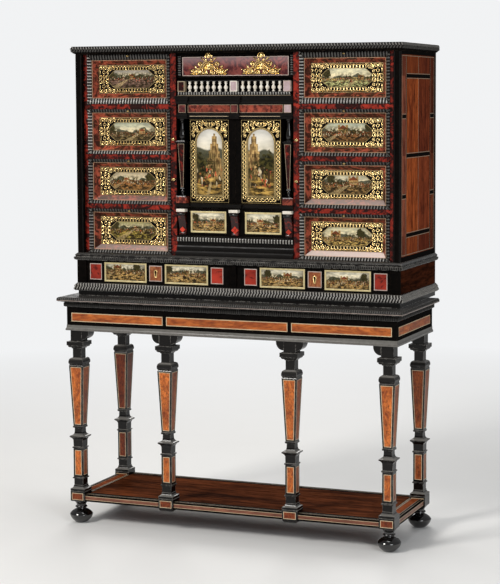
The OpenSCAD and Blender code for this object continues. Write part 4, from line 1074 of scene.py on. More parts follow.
class CABINET_OT_studio(CabinetOperator, bpy.types.Operator):
    """Camera, soft lamps, pale floor and background"""

    bl_idname = "cabinet.studio"
    bl_label = "Studio"

    haze = (0.93, 0.94, 0.95)

    def build(self):
        self.make_camera()
        self.make_lamps()
        self.make_floor()
        self.make_background()
        bpy.context.scene.view_settings.view_transform = "Standard"

    def make_camera(self):
        """The camera that was fitted to the photograph."""
        clear_selection()
        bpy.ops.object.camera_add(location=(2.1858, -5.2220, 1.4156))
        camera = added("Camera")
        azimuth, pitch, roll = (math.radians(angle) for angle in (21.068, 90 - 5.049, -0.168))
        turn = (Matrix.Rotation(azimuth, 3, "Z") @ Matrix.Rotation(pitch, 3, "X")
                @ Matrix.Rotation(roll, 3, "Z"))
        camera.rotation_euler = turn.to_euler()
        camera.data.lens = 105.975
        camera.data.shift_x, camera.data.shift_y = -0.0856, -0.0719
        bpy.context.scene.camera = camera

    def make_lamps(self):
        for name, spot, aim, size, power, tone in (
                ("Key lamp", (-2.2, -3.9, 3.9), (0, 0, 0.9), 1.4, 185, (1.0, 0.97, 0.93)),
                ("Fill lamp", (3.2, -3.1, 2.1), (0, 0, 0.9), 1.6, 68, (0.96, 0.98, 1.0)),
                ("Top lamp", (0.2, 0.4, 3.9), (0, 0, 1.0), 2.0, 48, (1.0, 1.0, 1.0)),
                ("Back lamp", (-1.6, 3.6, 2.6), (0, 0, 0.8), 2.2, 60, (1.0, 0.98, 0.95))):
            clear_selection()
            bpy.ops.object.light_add(type="AREA", location=spot)
            lamp = added(name)
            lamp.data.shape = "SQUARE"
            lamp.data.size, lamp.data.energy, lamp.data.color = size, power, tone
            lamp.rotation_euler = (Vector(aim) - Vector(spot)).to_track_quat("-Z", "Y").to_euler()

    def make_floor(self):
        clear_selection()
        bpy.ops.mesh.primitive_circle_add(vertices=64, radius=9.0, fill_type="NGON")
        floor = added("Floor")
        edit_all()
        bpy.ops.mesh.inset(thickness=1.2, depth=0)
        leave_edit()
        finish = Finish("Studio floor", roughness=0.6, specular=0.2)
        tree, place, shade = finish.tree, finish.place, colours().floor
        speckle = spread(noise(place, 3.0), 0.3, 0.7, 0.0, 0.5)
        feed(finish.shader.inputs["Base Color"], mixed(speckle, shade, shaded(shade, 0.97)))
        seen = wire(tree, "LightPath", "Is Camera Ray")
        far = wire(tree, "VectorMath", "Value", {0: place}, operation="LENGTH")
        haze = wire(tree, "Emission", 0, {"Color": self.haze, "Strength": 0.95})
        surface = wire(tree, "MixShader", 0, {0: spread(far, 1.3, 4.2) * seen,
                                              1: Wire(finish.shader.outputs[0]), 2: haze})
        feed(tree.nodes["Material Output"].inputs["Surface"], surface)
        floor.data.materials.append(finish.material)

    def make_background(self):
        world = bpy.data.worlds.new("Studio background")
        bpy.context.scene.world = world
        world.use_nodes = True
        background = world.node_tree.nodes["Background"].inputs
        feed(background["Color"], self.haze)
        seen = wire(world.node_tree, "LightPath", "Is Camera Ray")
        feed(background["Strength"], spread(seen, 0.0, 1.0, 0.26, 0.95))


SIDES = (("left", -1), ("right", 1))
SIDE_DRAWERS = [(side, row) for side, sign in SIDES for row in (1, 2, 3, 4)]
INNER_LEG, OUTER_LEG = 0.218, 0.543  # distances of the legs' middles from the middle plane
FRONT_LEG, BACK_LEG = -0.188, 0.137  # where the legs' middles are from front to back
CASE_BACK = 0.235
PIER = 0.1862  # distance of a pier, and of the console under it, from the middle plane
SIDE_EDGE = 0.046  # width of the outer boards of the case side
SIDE_BARS = (0.985, 1.235, 1.484)  # heights of the long black bars of the case side


class CABINET_OT_finishes(CabinetOperator, bpy.types.Operator):
    """Builds the finishes and puts them on the parts of the frame"""

    bl_idname = "cabinet.finishes"
    bl_label = "Finishes"

    def build(self):
        for build_group in (build_wood_group, build_wear_group, build_polish_group,
                            build_shell_group, build_picture_group):
            build_group()
        self.make_blacks()
        self.make_shells_and_lines()
        self.make_woods()
        make_ebony("Ebonised wood")
        make_brass("Gilt brass", 0.16, 0.32, 0.35)
        make_brass("Dark brass", 0.3, 0.5, 0.9)
        make_side_drawer("Side drawer", -0.0985)
        for name, front_end in (("Plinth drawer", -0.1255), ("Middle drawer", -0.1085),
                                ("Door leaf", -0.1043)):
            make_front_and_box(name, front_end)
        make_plinth_tier("Plinth tier")
        make_side_parquetry("Side parquetry")
        make_back_boards("Back boards")
        self.dress_frame()

    def make_blacks(self):
        """Each row: name, strength of the paler crests, roughness from and to, and where it isn't
        the usual one shine, worn edges and pale ledges.
        The paler crests are partly wear and partly painted sheen, and their bright, mid, dim and
        faint finishes are lit and shaded copies; the worn edges also carry a painted highlight, the
        pale ledges are painted light, and Grey sheen is a painted highlight."""
        for settings in (("Rippled ebony", 0.0, 0.3, 0.45, 0.12),
                         ("Worn crests, painted sheen", 1.0, 0.22, 0.34),
                         ("Bright crests", 1.8, 0.22, 0.34),
                         ("Mid crests", 0.6, 0.22, 0.34, 0.3),
                         ("Dim crests", 0.26, 0.22, 0.34, 0.3),
                         ("Faint crests", 0.1, 0.22, 0.34, 0.3),
                         ("Grey sheen", 0.5, 0.15, 0.25, 0.4),
                         ("Moulded ebony", 0.0, 0.1, 0.2, 0.4, 2.2),
                         ("Leg ebony", 0.0, 0.1, 0.2, 0.25, 1.1, 0.6),
                         ("Polished ebony", 0.0, 0.04, 0.1),
                         ("Foot ebony", 0.0, 0.03, 0.07, 1.0)):
            make_polished_ebony(*settings)

    def make_shells_and_lines(self):
        tones = colours()
        make_shell("Red tortoiseshell", 0.64)
        make_shell("Clear red shell", 0.36, 1.25)
        make_shell("Bright shell", 0.56, 1.0, ((0.34, 0.07, 0.04), (0.07, 0.014, 0.011)))
        # Rosy shell carries a painted sheen near the top of the top drawer's plate.
        make_shell("Rosy shell", 0.56, 0.84, ((0.25, 0.062, 0.05), (0.06, 0.014, 0.016)),
                   (1.515, 1.548, 0.42))
        make_shell("Vivid shell", 0.1, 1.7)
        make_shell("Dark shell", 0.8, 0.7)
        make_pale("Stringing", tones.string_line, 0.35, 0.55)
        make_pale("Dull stringing", shaded(tones.string_line, 0.55), 0.4, 0.6)
        make_pale("Drawer stringing", (0.5, 0.33, 0.2), 0.4, 0.6)
        make_pale("Bone", tones.bone, 0.25, 0.4)
        # Pale pinkish grey: painted sheen on small red shell blocks.
        make_pale("Shell with painted sheen", (0.46, 0.35, 0.37), 0.25, 0.4)
        make_pale("Pewter line", (0.5, 0.4, 0.36), 0.3, 0.5)
        make_pale("Pale gilt", (0.74, 0.63, 0.34), 0.25, 0.42, 0.35)

    def make_woods(self):
        """A figure is: light and dark tone, stretch, streak, curl, cloud, depth."""
        tones = colours()
        burl = make_wood("Burl", (tones.burl_light, tones.burl_dark, (1.0, 1.0, 0.5),
                                  44.0, 3.4, 20.0, 0.5))
        paint_shade_on_legs(burl)
        make_wood("Apron burl", ((0.6, 0.168, 0.032), tones.burl_dark, (0.3, 0.3, 1.0),
                                 34.0, 2.2, 14.0, 0.3))
        make_wood("Plate burl", ((0.38, 0.14, 0.05), tones.burl_dark, (1.0, 1.0, 0.6),
                                 40.0, 3.0, 30.0, 0.35))
        make_wood("Red burl", ((0.34, 0.085, 0.024), (0.11, 0.02, 0.006), (1.0, 1.0, 0.42),
                               34.0, 3.0, 16.0, 0.4), coat=0.06, shine=0.0, dusty=0.02)
        make_wood("Rosewood", (tones.rose_light, tones.rose_dark, (0.13, 1.0, 1.0),
                               30.0, 1.4, 5.0, 0.6), 0.16, 0.3, 0.015, shine=0.0, dusty=0.0)
        make_wood("Rail strip", ((0.3, 0.12, 0.07), (0.12, 0.04, 0.024), (0.2, 0.2, 1.0),
                                 34.0, 2.0, 16.0, 0.3))
        make_wood("Box wood", box_wood(), 0.5, 0.7, 0.0)

    def dress_frame(self):
        """Each node of the frame gets the finish planned for it, or else ebonised wood."""
        pair = ("left", "right")
        plan = {
            # Moulded and leg ebony carry painted highlights on their edges and painted light on
            # their ledges.
            "Moulded ebony": ["stand_top", "case_base", "plinth_moulding"],
            "Leg ebony": ["leg_brackets"] + [f"leg_{place}_{side}" for side in pair
                                             for place in ("front", "inner", "back")],
            # Grey sheen is a painted highlight along the apron moulding.
            "Grey sheen": ["apron_moulding"],
            "Rippled ebony": ["middle_mouldings"],
            "Burl": ["leg_inlays"],
            "Apron burl": ["apron_panels"],
            "Rosewood": ["shelf_board"],
            "Box wood": ["drawer_rails", "case_floor"],
            "Side drawer": [f"drawer_{side}_{row}" for side, row in SIDE_DRAWERS],
            "Plinth drawer": [f"plinth_drawer_{side}" for side in pair],
            "Middle drawer": ["top_drawer", "lower_drawer"],
            "Door leaf": [f"door_{side}" for side in pair],
            "Plinth tier": ["plinth_case"],
            "Side parquetry": ["side_panels"],
            "Back boards": ["case_back"],
            "Red tortoiseshell": ["red_strips"] + [f"plinth_fronts_{side}" for side in pair],
            "Gilt brass": ["brass_fittings", "fan_mounts"] + [f"door_mount_{s}" for s in pair]
            + [f"mount_{side}_{row}" for side, row in SIDE_DRAWERS],
        }
        planned = {name: finish for finish, names in plan.items() for name in names}
        for name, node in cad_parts.items():
            node.data.materials.clear()
            give(node, planned.get(name, "Ebonised wood"))


class CABINET_OT_feet(CabinetOperator, bpy.types.Operator):
    """Turned feet"""

    bl_idname = "cabinet.feet"
    bl_label = "Feet"

    def build(self):
        low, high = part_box("feet")
        profile = [(0, 0), (15, 0), (18.5, 1.2), (25, 6), (31.5, 12.5), (36, 19.5), (38.2, 26),
                   (38.6, 28), (38.2, 29.6), (35.4, 33.6), (30.5, 38.2), (24, 42.6), (17.5, 45.8),
                   (14, 47.2), (13.4, 48.8), (17.6, 50), (20, 51.8), (20, 54), (18.4, 56),
                   (15.6, 57)]
        steps = 6  # of the flare over the neck
        flare = [(15.6 + 8.4 * (1 - math.cos(math.radians(t * 15))), 58 + 14 * t / steps)
                 for t in range(steps + 1)]
        foot = turned("foot", profile + flare + [(24, 74), (0, 74)])
        reach = 0.037  # from the outer side of the feet to the middle of one
        feet = [copied(foot, "foot", (x, y, 0)) for y in (low.y + reach, high.y - reach)
                for x in (low.x + reach, high.x - reach)]
        discard(foot)
        fit(joined("turned_feet", feet), STAND, "Foot ebony", ["feet"])


class CABINET_OT_leg_stringing(CabinetOperator, bpy.types.Operator):
    """Pale lines round the panels of the legs"""

    bl_idname = "cabinet.leg_stringing"
    bl_label = "Leg stringing"

    def build(self):
        shaft_low, shaft_high, die_low, die_high = 333, 527, 162, 246  # in millimetres

        def shaft(z):
            """Half width of the tapered shaft."""
            return (16.5 + 9.0 * (z - 328) / 203) * MM

        frames = []
        for low, half_low, face_low, high, half_high, face_high in (
                (shaft_low, shaft(shaft_low) - 0.005, shaft(shaft_low),
                 shaft_high, shaft(shaft_high) - 0.005, shaft(shaft_high)),
                (die_low, 0.012, 0.0175, die_high, 0.012, 0.0175)):
            corners = [(-half_low, -face_low, low * MM), (half_low, -face_low, low * MM),
                       (half_high, -face_high, high * MM), (-half_high, -face_high, high * MM)]
            first = string_frame("leg_line", corners, sizes().string_width * 0.9)
            frames += [first] + [copied(first, "leg_line", turn=(0, 0, a)) for a in (90, 180, 270)]
        block = upright(rectangle((-0.021, 0.079), (0.021, 0.102)), -0.026)
        frames.append(string_frame("block_line", block))
        model = joined("leg_stringing", frames)
        spots = [(x, FRONT_LEG, 0) for x in (-OUTER_LEG, -INNER_LEG, INNER_LEG, OUTER_LEG)]
        spots += [(x, BACK_LEG, 0) for x in (-OUTER_LEG, OUTER_LEG)]
        for index, spot in enumerate(spots, 1):
            fit_copy(model, f"leg_stringing_{index}", spot, STAND, "Stringing")
        discard(model)


class CABINET_OT_panel_stringing(CabinetOperator, bpy.types.Operator):
    """Pale lines round the apron panels and along the shelf rails, and the strips let in there"""

    bl_idname = "cabinet.panel_stringing"
    bl_label = "Panel stringing"

    def build(self):
        self.line_apron()
        self.line_shelf_edge()
        self.inlay_shelf_rails()

    def line_apron(self):
        low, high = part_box("apron_panels")
        leg, gap, end = INNER_LEG, 0.0065, 0.017
        frames = [string_frame("apron_line", upright(rectangle((x0, low.z), (x1, high.z)), low.y),
                               0.0022)
                  for x0, x1 in ((low.x + end, -leg - gap), (-leg + gap, leg - gap),
                                 (leg + gap, high.x - end))]
        for x in (-high.x, high.x):
            corners = rectangle((-0.193, low.z), (0.141, high.z))
            frames.append(string_frame("apron_end_line", [(x, y, z) for y, z in corners], 0.0022))
        fit(joined("apron_stringing", frames), STAND, "Stringing")

    def line_shelf_edge(self):
        low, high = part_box("shelf_rails")
        lines = []
        for inward in (0.005, 0.0135):
            corners = rectangle((low.x + inward, low.y + inward),
                                (high.x - inward, high.y - inward))
            lines.append(string_frame("shelf_line", [(x, y, high.z) for x, y in corners], 0.0012))
        fit(joined("shelf_stringing", lines), STAND, "Dull stringing")

    def inlay_shelf_rails(self):
        low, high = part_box("shelf_rails")
        top, front, back = high.z, -0.162, 0.111
        outer, inner = high.x - 0.0155, high.x - 0.040
        strips = [bar("shelf_strip", (x0, front, top - 0.0004), (x1, back, top + 0.0003), 0.0001)
                  for x0, x1 in ((-outer, -inner), (inner, outer))]
        bands, lines = [], []
        faces = [((x, front + 0.002), (x, back - 0.002), (0.0004, 0)) for x in (-high.x, high.x)]
        faces += [((x0, low.y), (x1, low.y), (0, 0.0004))
                  for x0, x1 in ((-0.516, -0.245), (-0.191, 0.191), (0.245, 0.516))]
        for start, end, half in faces:
            bands.append(strip("shelf_band", (*start, top - 0.0117), (*end, top - 0.0117),
                               (*half, 0.005), 0.0001))
            lines += [strip("shelf_line", (*start, z), (*end, z), (*half, 0.0006))
                      for z in (top - 0.0060, top - 0.0174)]
        lines += [strip("shelf_line", (x, front, top), (x, back, top), (0.0008, 0, 0.0003))
                  for side in (-1, 1) for x in (side * (inner - 0.002), side * (inner - 0.008))]
        fit(joined("shelf_inlay", strips), STAND, "Red burl")
        fit(joined("shelf_bands", bands), STAND, "Rail strip")
        fit(joined("shelf_lines", lines), STAND, "Stringing")


class CABINET_OT_ripple_mouldings(CabinetOperator, bpy.types.Operator):
    """Rippled mouldings round the stand top, the base, the plinth tier and the cornice"""

    bl_idname = "cabinet.ripple_mouldings"
    bl_label = "Ripple mouldings"

    def build(self):
        pitch, rise, fine = sizes().ripple_pitch, sizes().ripple_rise, sizes().fine_pitch
        low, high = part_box("case_side_right")
        case = (high.x, low.y, CASE_BACK)
        low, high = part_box("apron")
        apron = (high.x, low.y, high.y)
        # Name; what it runs round, its bottom and section; pitch, rise, slant, finish of its
        # crests, whose painted sheen is set bright, mid, dim or faint for each moulding
        for name, around, bottom, section, *waves in (
                ("base_ripple_lower", case, 0.7805,
                 ((0, 6), (0, 10.5), (3, 11.2), (7, 10.6), (10.5, 8.6), (11, 4), (1, 2)),
                 pitch, rise, 0.3, "Bright crests"),
                ("base_ripple_upper", case, 0.7915,
                 ((0, 3), (0, 8.2), (3, 8.4), (7, 6.4), (11, 2.6), (11.5, -1), (1, -1)),
                 pitch, rise, -0.3, "Bright crests"),
                ("tier_ripple", case, 0.8815,
                 ((0, 4), (0, 8.0), (3, 9.6), (7, 10.6), (8.5, 10.8), (9, 5), (1, 3)),
                 fine, 0.0009, 0.0, "Dim crests"),
                ("cornice_ripple_lower", case, 1.5680,
                 ((0, 4), (0.5, 8.4), (4.5, 10.8), (8.6, 11.4), (9, 5)),
                 pitch, rise, 0.55, "Dim crests"),
                ("cornice_ripple_upper", case, 1.5772,
                 ((0, 5), (0.4, 11.6), (4.5, 10.6), (8.6, 7.4), (9, 3)),
                 pitch, rise, -0.55, "Mid crests"),
                ("frieze_ripple", apron, 0.7305,
                 ((0, 2), (0, 6.4), (2, 7.4), (11, 7.4), (13, 6.0), (13, 2)),
                 fine, 0.0012, 0.0, "Faint crests"),
                ("top_ripple", apron, 0.7542,
                 ((0, 20), (0, 24.6), (2.6, 24.2), (5, 22.6), (7.2, 20.2), (7.2, 16)),
                 fine, 0.0012, 0.0, "Dim crests")):
            belt = ripple_belt(name, section_at(bottom, section), *around, *waves)
            fit(belt, STAND)
        # Painted highlight on the stand top's edge.
        self.paint_stand_top_highlight(high.x + 0.0252, low.y - 0.0252, high.y)
        section = section_at(0.9515, ((0, 2), (0, 8.4), (3, 9.6), (9, 9.6), (13, 7.6), (13, 2)))
        sill = trimmed_run("sill_ripple", section, 2 * 0.2042, pitch, rise * 0.8)
        fit(tidy_shell(settle(sill, (0, -0.1285, 0)), 60), STAND)

    def paint_stand_top_highlight(self, half_width, front, back):
        """Painted highlight along the edge of the stand top: a thin pale pewter line."""
        z0, z1 = 0.7508, 0.7518
        lines = [bar("painted_edge_highlight", (-half_width, front, z0), (half_width, front + 0.001, z1))]
        lines += [bar("painted_edge_highlight", (x - 0.0005, front, z0), (x + 0.0005, back, z1))
                  for x in (-half_width, half_width)]
        fit(joined("painted_edge_highlights", lines), STAND, "Pewter line")


def front_height(row):
    """Height of a side drawer's front; the top row is taller."""
    return (0.1635 if row == 1 else 0.1485) - 0.0016


def drawer_middle(side, row):
    """Middle (x, z) of a side drawer's front."""
    low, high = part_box(f"drawer_{side}_{row}")
    return (low.x + high.x) / 2, (1.47925, 1.30725, 1.14275, 0.97825)[row - 1]


def side_drawers():
    """Side, row, body and middle (x, z) of each side drawer."""
    for side, row in SIDE_DRAWERS:
        yield side, row, f"side_drawer_{side}_{row}", *drawer_middle(side, row)


class CABINET_OT_drawer_ripples(CabinetOperator, bpy.types.Operator):
    """Rippled frames of the eight side drawers, and the lines round their slopes"""

    bl_idname = "cabinet.drawer_ripples"
    bl_label = "Drawer ripples"

    # Painted sheen of the crests on the bottom and left bands, by side, from the top row down
    crests = {"left": ("Bright crests", "Bright crests", "Mid crests", "Mid crests"),
              "right": ("Worn crests, painted sheen", "Mid crests", "Mid crests", "Worn crests, painted sheen")}

    mount_w, mount_h = 0.1195, 0.0459  # half sizes of the mount inside its line
    mount_front, slope_front = -0.1085, -0.1297

    def build(self):
        models = {row: self.make_frame(row) for row in (2, 1)}
        for side, row, body, x, z in side_drawers():
            ripples = copied(models[min(row, 2)], f"drawer_ripple_{side}_{row}", (x, -0.135, z))
            finishes = ripples.data.materials
            for place, finish in enumerate(finishes):
                if finish.name == "Bright crests":
                    finishes[place] = bpy.data.materials[self.crests[side][row - 1]]
            fit(ripples, body)
        discard(*models.values())
        for side, row, body, x, z in side_drawers():
            low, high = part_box(f"drawer_{side}_{row}")
            rail, stile = self.bands(row)
            lines = []
            for half_w, half_h, front, width, rise in (
                    (self.mount_w + 0.0008, self.mount_h + 0.0008, self.mount_front,
                     0.0012, 0.0008),
                    ((high.x - low.x) / 2 - stile - 0.0003, front_height(row) / 2 - rail - 0.0003,
                     self.slope_front, 0.0013, 0.0007)):
                corners = rectangle((x - half_w, z - half_h), (x + half_w, z + half_h))
                lines.append(string_frame("slope_line", upright(corners, front), width, rise))
            fit(joined(f"slope_line_{side}_{row}", lines), body, "Drawer stringing")

    def bands(self, row):
        """Widths of the rippled rails and stiles."""
        return (0.0185 if row == 1 else 0.011), 0.014

    def make_frame(self, row):
        low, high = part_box(f"drawer_right_{row}")
        rail, stile = self.bands(row)

        def section(band):
            return [(0.0002, -0.0045), (0.0002, 0.0014), (0.0014, 0.0022), (band * 0.3, 0.0011),
                    (band * 0.6, -0.0009), (band - 0.0006, -0.0034), (band - 0.0002, -0.0055)]

        return ripple_frame("drawer_ripple", high.x - low.x, front_height(row),
                            (section(rail), section(stile)), (rail, stile),
                            sizes().ripple_pitch, sizes().ripple_rise * 0.9)


# Colours of the sky and the ground in each picture
DRAWER_VIEWS = (((0.42, 0.38, 0.34), (0.12, 0.07, 0.05)), ((0.5, 0.55, 0.4), (0.13, 0.09, 0.035)),
                ((0.66, 0.52, 0.32), (0.21, 0.1, 0.03)), ((0.46, 0.42, 0.16), (0.2, 0.15, 0.03)),
                ((1.0, 0.94, 0.6), (0.6, 0.43, 0.15)), ((0.62, 0.68, 0.5), (0.13, 0.06, 0.02)),
                ((0.7, 0.66, 0.46), (0.17, 0.1, 0.035)), ((0.78, 0.72, 0.44), (0.36, 0.24, 0.07)))
PALE_VIEW = ((1.0, 0.93, 0.72), (0.34, 0.21, 0.07))
TOWER_VIEW = ((0.84, 0.82, 0.76), (0.27, 0.165, 0.04))


class CABINET_OT_drawer_mounts(CabinetOperator, bpy.types.Operator):
    """Gilt openwork round the pictures of the side drawers, and the small knobs"""

    bl_idname = "cabinet.drawer_mounts"
    bl_label = "Drawer mounts"

    half_w, half_h = 0.1197, 0.04595  # of the mount
    window_w, window_h = 0.084, 0.029  # half sizes of its window

    def build(self):
        corner_x, corner_z = self.window_w - 0.024, self.window_h - 0.020
        right = [(corner_x, -self.window_h), (self.window_w, -corner_z),
                 (self.window_w, corner_z), (corner_x, self.window_h)]
        window = [(-corner_x, -self.window_h)] + right + [(-x, z) for x, z in right[:0:-1]]
        openwork = self.make_openwork(window)
        picture = slab("picture", upright(window), 0.0012)
        tidy_shell(modified(picture, "BEVEL", width=0.0003, segments=2))
        knob = turned("knob", (
            (0, -5), (1.2, -5), (1.2, 0), (3.2, 0), (3.2, 0.8), (1.7, 1.6), (1.5, 3.6), (2.6, 5),
            (3.7, 6.2), (3.8, 7.4), (3.0, 9), (1.4, 10), (0, 10.2)), 24)
        settle(knob, turn=(90, 0, 0))
        for number, (side, row, body, x, z) in enumerate(side_drawers(), 1):
            fit_copy(openwork, f"drawer_openwork_{side}_{row}", (x, -0.1098, z), body,
                     "Gilt brass", [f"mount_{side}_{row}"])
            view = make_picture(
                f"Picture of drawer {number}", (x, z), 2 * self.window_w, 2 * self.window_h,
                3.7 * number + 0.4, 0.58 + 0.08 * math.sin(number * 2.1), DRAWER_VIEWS[number - 1])
            fit_copy(picture, f"drawer_picture_{side}_{row}", (x, -0.1105, z), body,
                     view)
            top = z + front_height(row) / 2 - 0.006
            fit_copy(knob, f"drawer_knob_{side}_{row}", (x, -0.1365, top), body,
                     "Dark brass", scale=(0.78, 0.8, 0.78))
        discard(openwork, picture, knob)

    def make_openwork(self, window):
        thick = sizes().rod
        middle = 0.1022  # of the band between the window and the end
        quarter = [
            rod("cross_out", (middle, 0), 58, [(0, 0.0118), (0.0062, -215), (0.0040, -150)], thick),
            rod("cross_in", (middle, 0), 122, [(0, 0.0118), (0.0062, 215), (0.0040, 150)], thick),
            rod("eye", (middle + 0.0048, 0.0225), 90, [(0.0048, 360)], thick * 0.85, bud=False),
        ]
        quarter += curls(((0.1104, 0.0368), 0.0073, -60, 1, 1.0),
                         ((0.0942, 0.0365), 0.0073, 240, -1, 1.0),
                         ((0.0794, 0.0315), 0.0068, 200, -1, 0.95),
                         ((0.0892, 0.0208), 0.0046, 20, 1, 0.85),
                         ((0.0678, 0.0376), 0.0060, 10, 1, 0.9))
        quarter += [petal("leaf", *leaf) for leaf in (
            ((middle, 0.0285), 90, 0.0150, 0.0060), ((0.1150, 0.0180), 84, 0.0120, 0.0052),
            ((0.0865, 0.0365), 130, 0.0085, 0.0046), ((0.0745, 0.0402), 30, 0.0095, 0.0048),
            ((middle, 0.0035), 90, 0.0115, 0.0044))]
        arch = [rod("arch", (0.0098, self.window_h + 0.0020), 90,
                    [(0, 0.0062), (0.0043, 180), (0, 0.0062)], thick * 0.8, bud=False),
                petal("drop", (0.0, self.half_h - 0.0012), 270, 0.0060, 0.0036)]
        quarter.append(modified(joined("arch", arch), "ARRAY", count=6, use_relative_offset=False,
                                use_constant_offset=True,
                                constant_offset_displace=(0.0106, 0, 0)))
        upper = joined("quarter", quarter)
        lower = copied(upper, "quarter_low", scale=(1, 1, -1))
        near = joined("end", [upper, lower])
        far = copied(near, "end_far", scale=(-1, 1, 1))
        outer = upright(rectangle((-self.half_w, -self.half_h), (self.half_w, self.half_h)))
        inner = upright([(x * 1.018, z * 1.05) for x, z in window])
        openwork = joined("openwork", [near, far, rim("rim", outer, 0.0012, 0.0022),
                                       rim("window", inner, 0.0015, 0.0022)])
        return tidy_shell(settle(openwork, scale=(1, 0.9, 1)), 50)


def framed_picture(title, name, body, low, high, border, sink, seed, horizon):
    """Small painted plate in a pale gilt frame, on the front of a drawer."""
    rebate = 0.011  # by how much the picture is smaller than the plate
    view = make_picture(title, ((low[0] + high[0]) / 2, (low[2] + high[2]) / 2),
                        high[0] - low[0] - rebate, high[2] - low[2] - rebate, seed, horizon,
                        PALE_VIEW)
    fit(framed_plate(name, low, high, border, sink, ("Pale gilt", view)), body)


class CABINET_OT_plinth_plates(CabinetOperator, bpy.types.Operator):
    """Red squares, keyhole plates and framed pictures of the two plinth drawers"""

    bl_idname = "cabinet.plinth_plates"
    bl_label = "Plinth plates"

    # From and to, as shares of the drawer's width away from the middle; height; what it is
    plates = ((0.045, 0.13, 0.054, "square"), (0.15, 0.45, 0.064, "picture"),
              (0.47, 0.56, 0.052, "keyhole"), (0.58, 0.88, 0.064, "picture"),
              (0.9, 0.985, 0.054, "square"))

    def build(self):
        for index, (side, sign) in enumerate(SIDES):
            body = f"low_drawer_{side}"
            drawer_low, drawer_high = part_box(f"plinth_drawer_{side}")
            low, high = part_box(f"plinth_fronts_{side}")
            start = min(abs(drawer_low.x), abs(drawer_high.x))
            width = drawer_high.x - drawer_low.x
            z = (low.z + high.z) / 2
            front = low.y - 0.0006
            squares, number = [], 0
            for near, far, tall, what in self.plates:
                x0, x1 = sorted(sign * (start + share * width) for share in (near, far))
                corner, other = (x0, front, z - tall / 2), (x1, high.y, z + tall / 2)
                if what == "picture":
                    number += 1
                    framed_picture(f"Picture of {side} plinth drawer {number}",
                                   f"plinth_picture_{side}_{number}", body, corner, other,
                                   0.0052, 0.0009, 21.3 + 7.1 * number + 3.3 * index,
                                   0.6 + 0.04 * number * (1 - 2 * index))
                    continue
                keyhole = what == "keyhole"
                plate = framed_plate(
                    f"keyhole_plate_{side}" if keyhole else "plinth_square", corner, other,
                    0.0026, 0.0005, ("Pewter line", "Plate burl" if keyhole else "Clear red shell"))
                if keyhole:
                    fit(plate, body)
                else:
                    squares.append(plate)
            fit(joined(f"plinth_squares_{side}", squares), body,
                instead_of=[f"plinth_fronts_{side}"])
            self.make_keyhole(side, body, sign * (start + 0.515 * width), front, z)

    def make_keyhole(self, side, body, middle, front, z):
        wires = [rod("escutcheon", (middle + aside, z + 0.006), heading, bends, 0.0016, bud, front)
                 for aside, heading, bends, bud in (
                     (0.005, 90, [(0.005, 230)], False),
                     (0.005, -100, [(0, 0.015), (0.003, -60)], True),
                     (-0.005, -80, [(0, 0.015), (0.003, 60)], True))]
        fit(tidy_shell(joined(f"escutcheon_{side}", wires), 50), body, "Gilt brass")
        shape = ((-1.3, 2.6), (-2.8, -9), (2.8, -9), (1.3, 2.6), (2.9, 4.4), (3.1, 6.6), (1.6, 8.8),
                 (-1.6, 8.8), (-3.1, 6.6), (-2.9, 4.4))
        corners = upright([(middle + x * MM, z + up * MM) for x, up in shape], front + 0.0003)
        # The keyhole is a thin black slab laid on the plate: painted shade in place of the dark
        # opening.
        hole = slab(f"keyhole_{side}", corners, 0.0007)
        fit(tidy_shell(hole), body, "Ebonised wood")


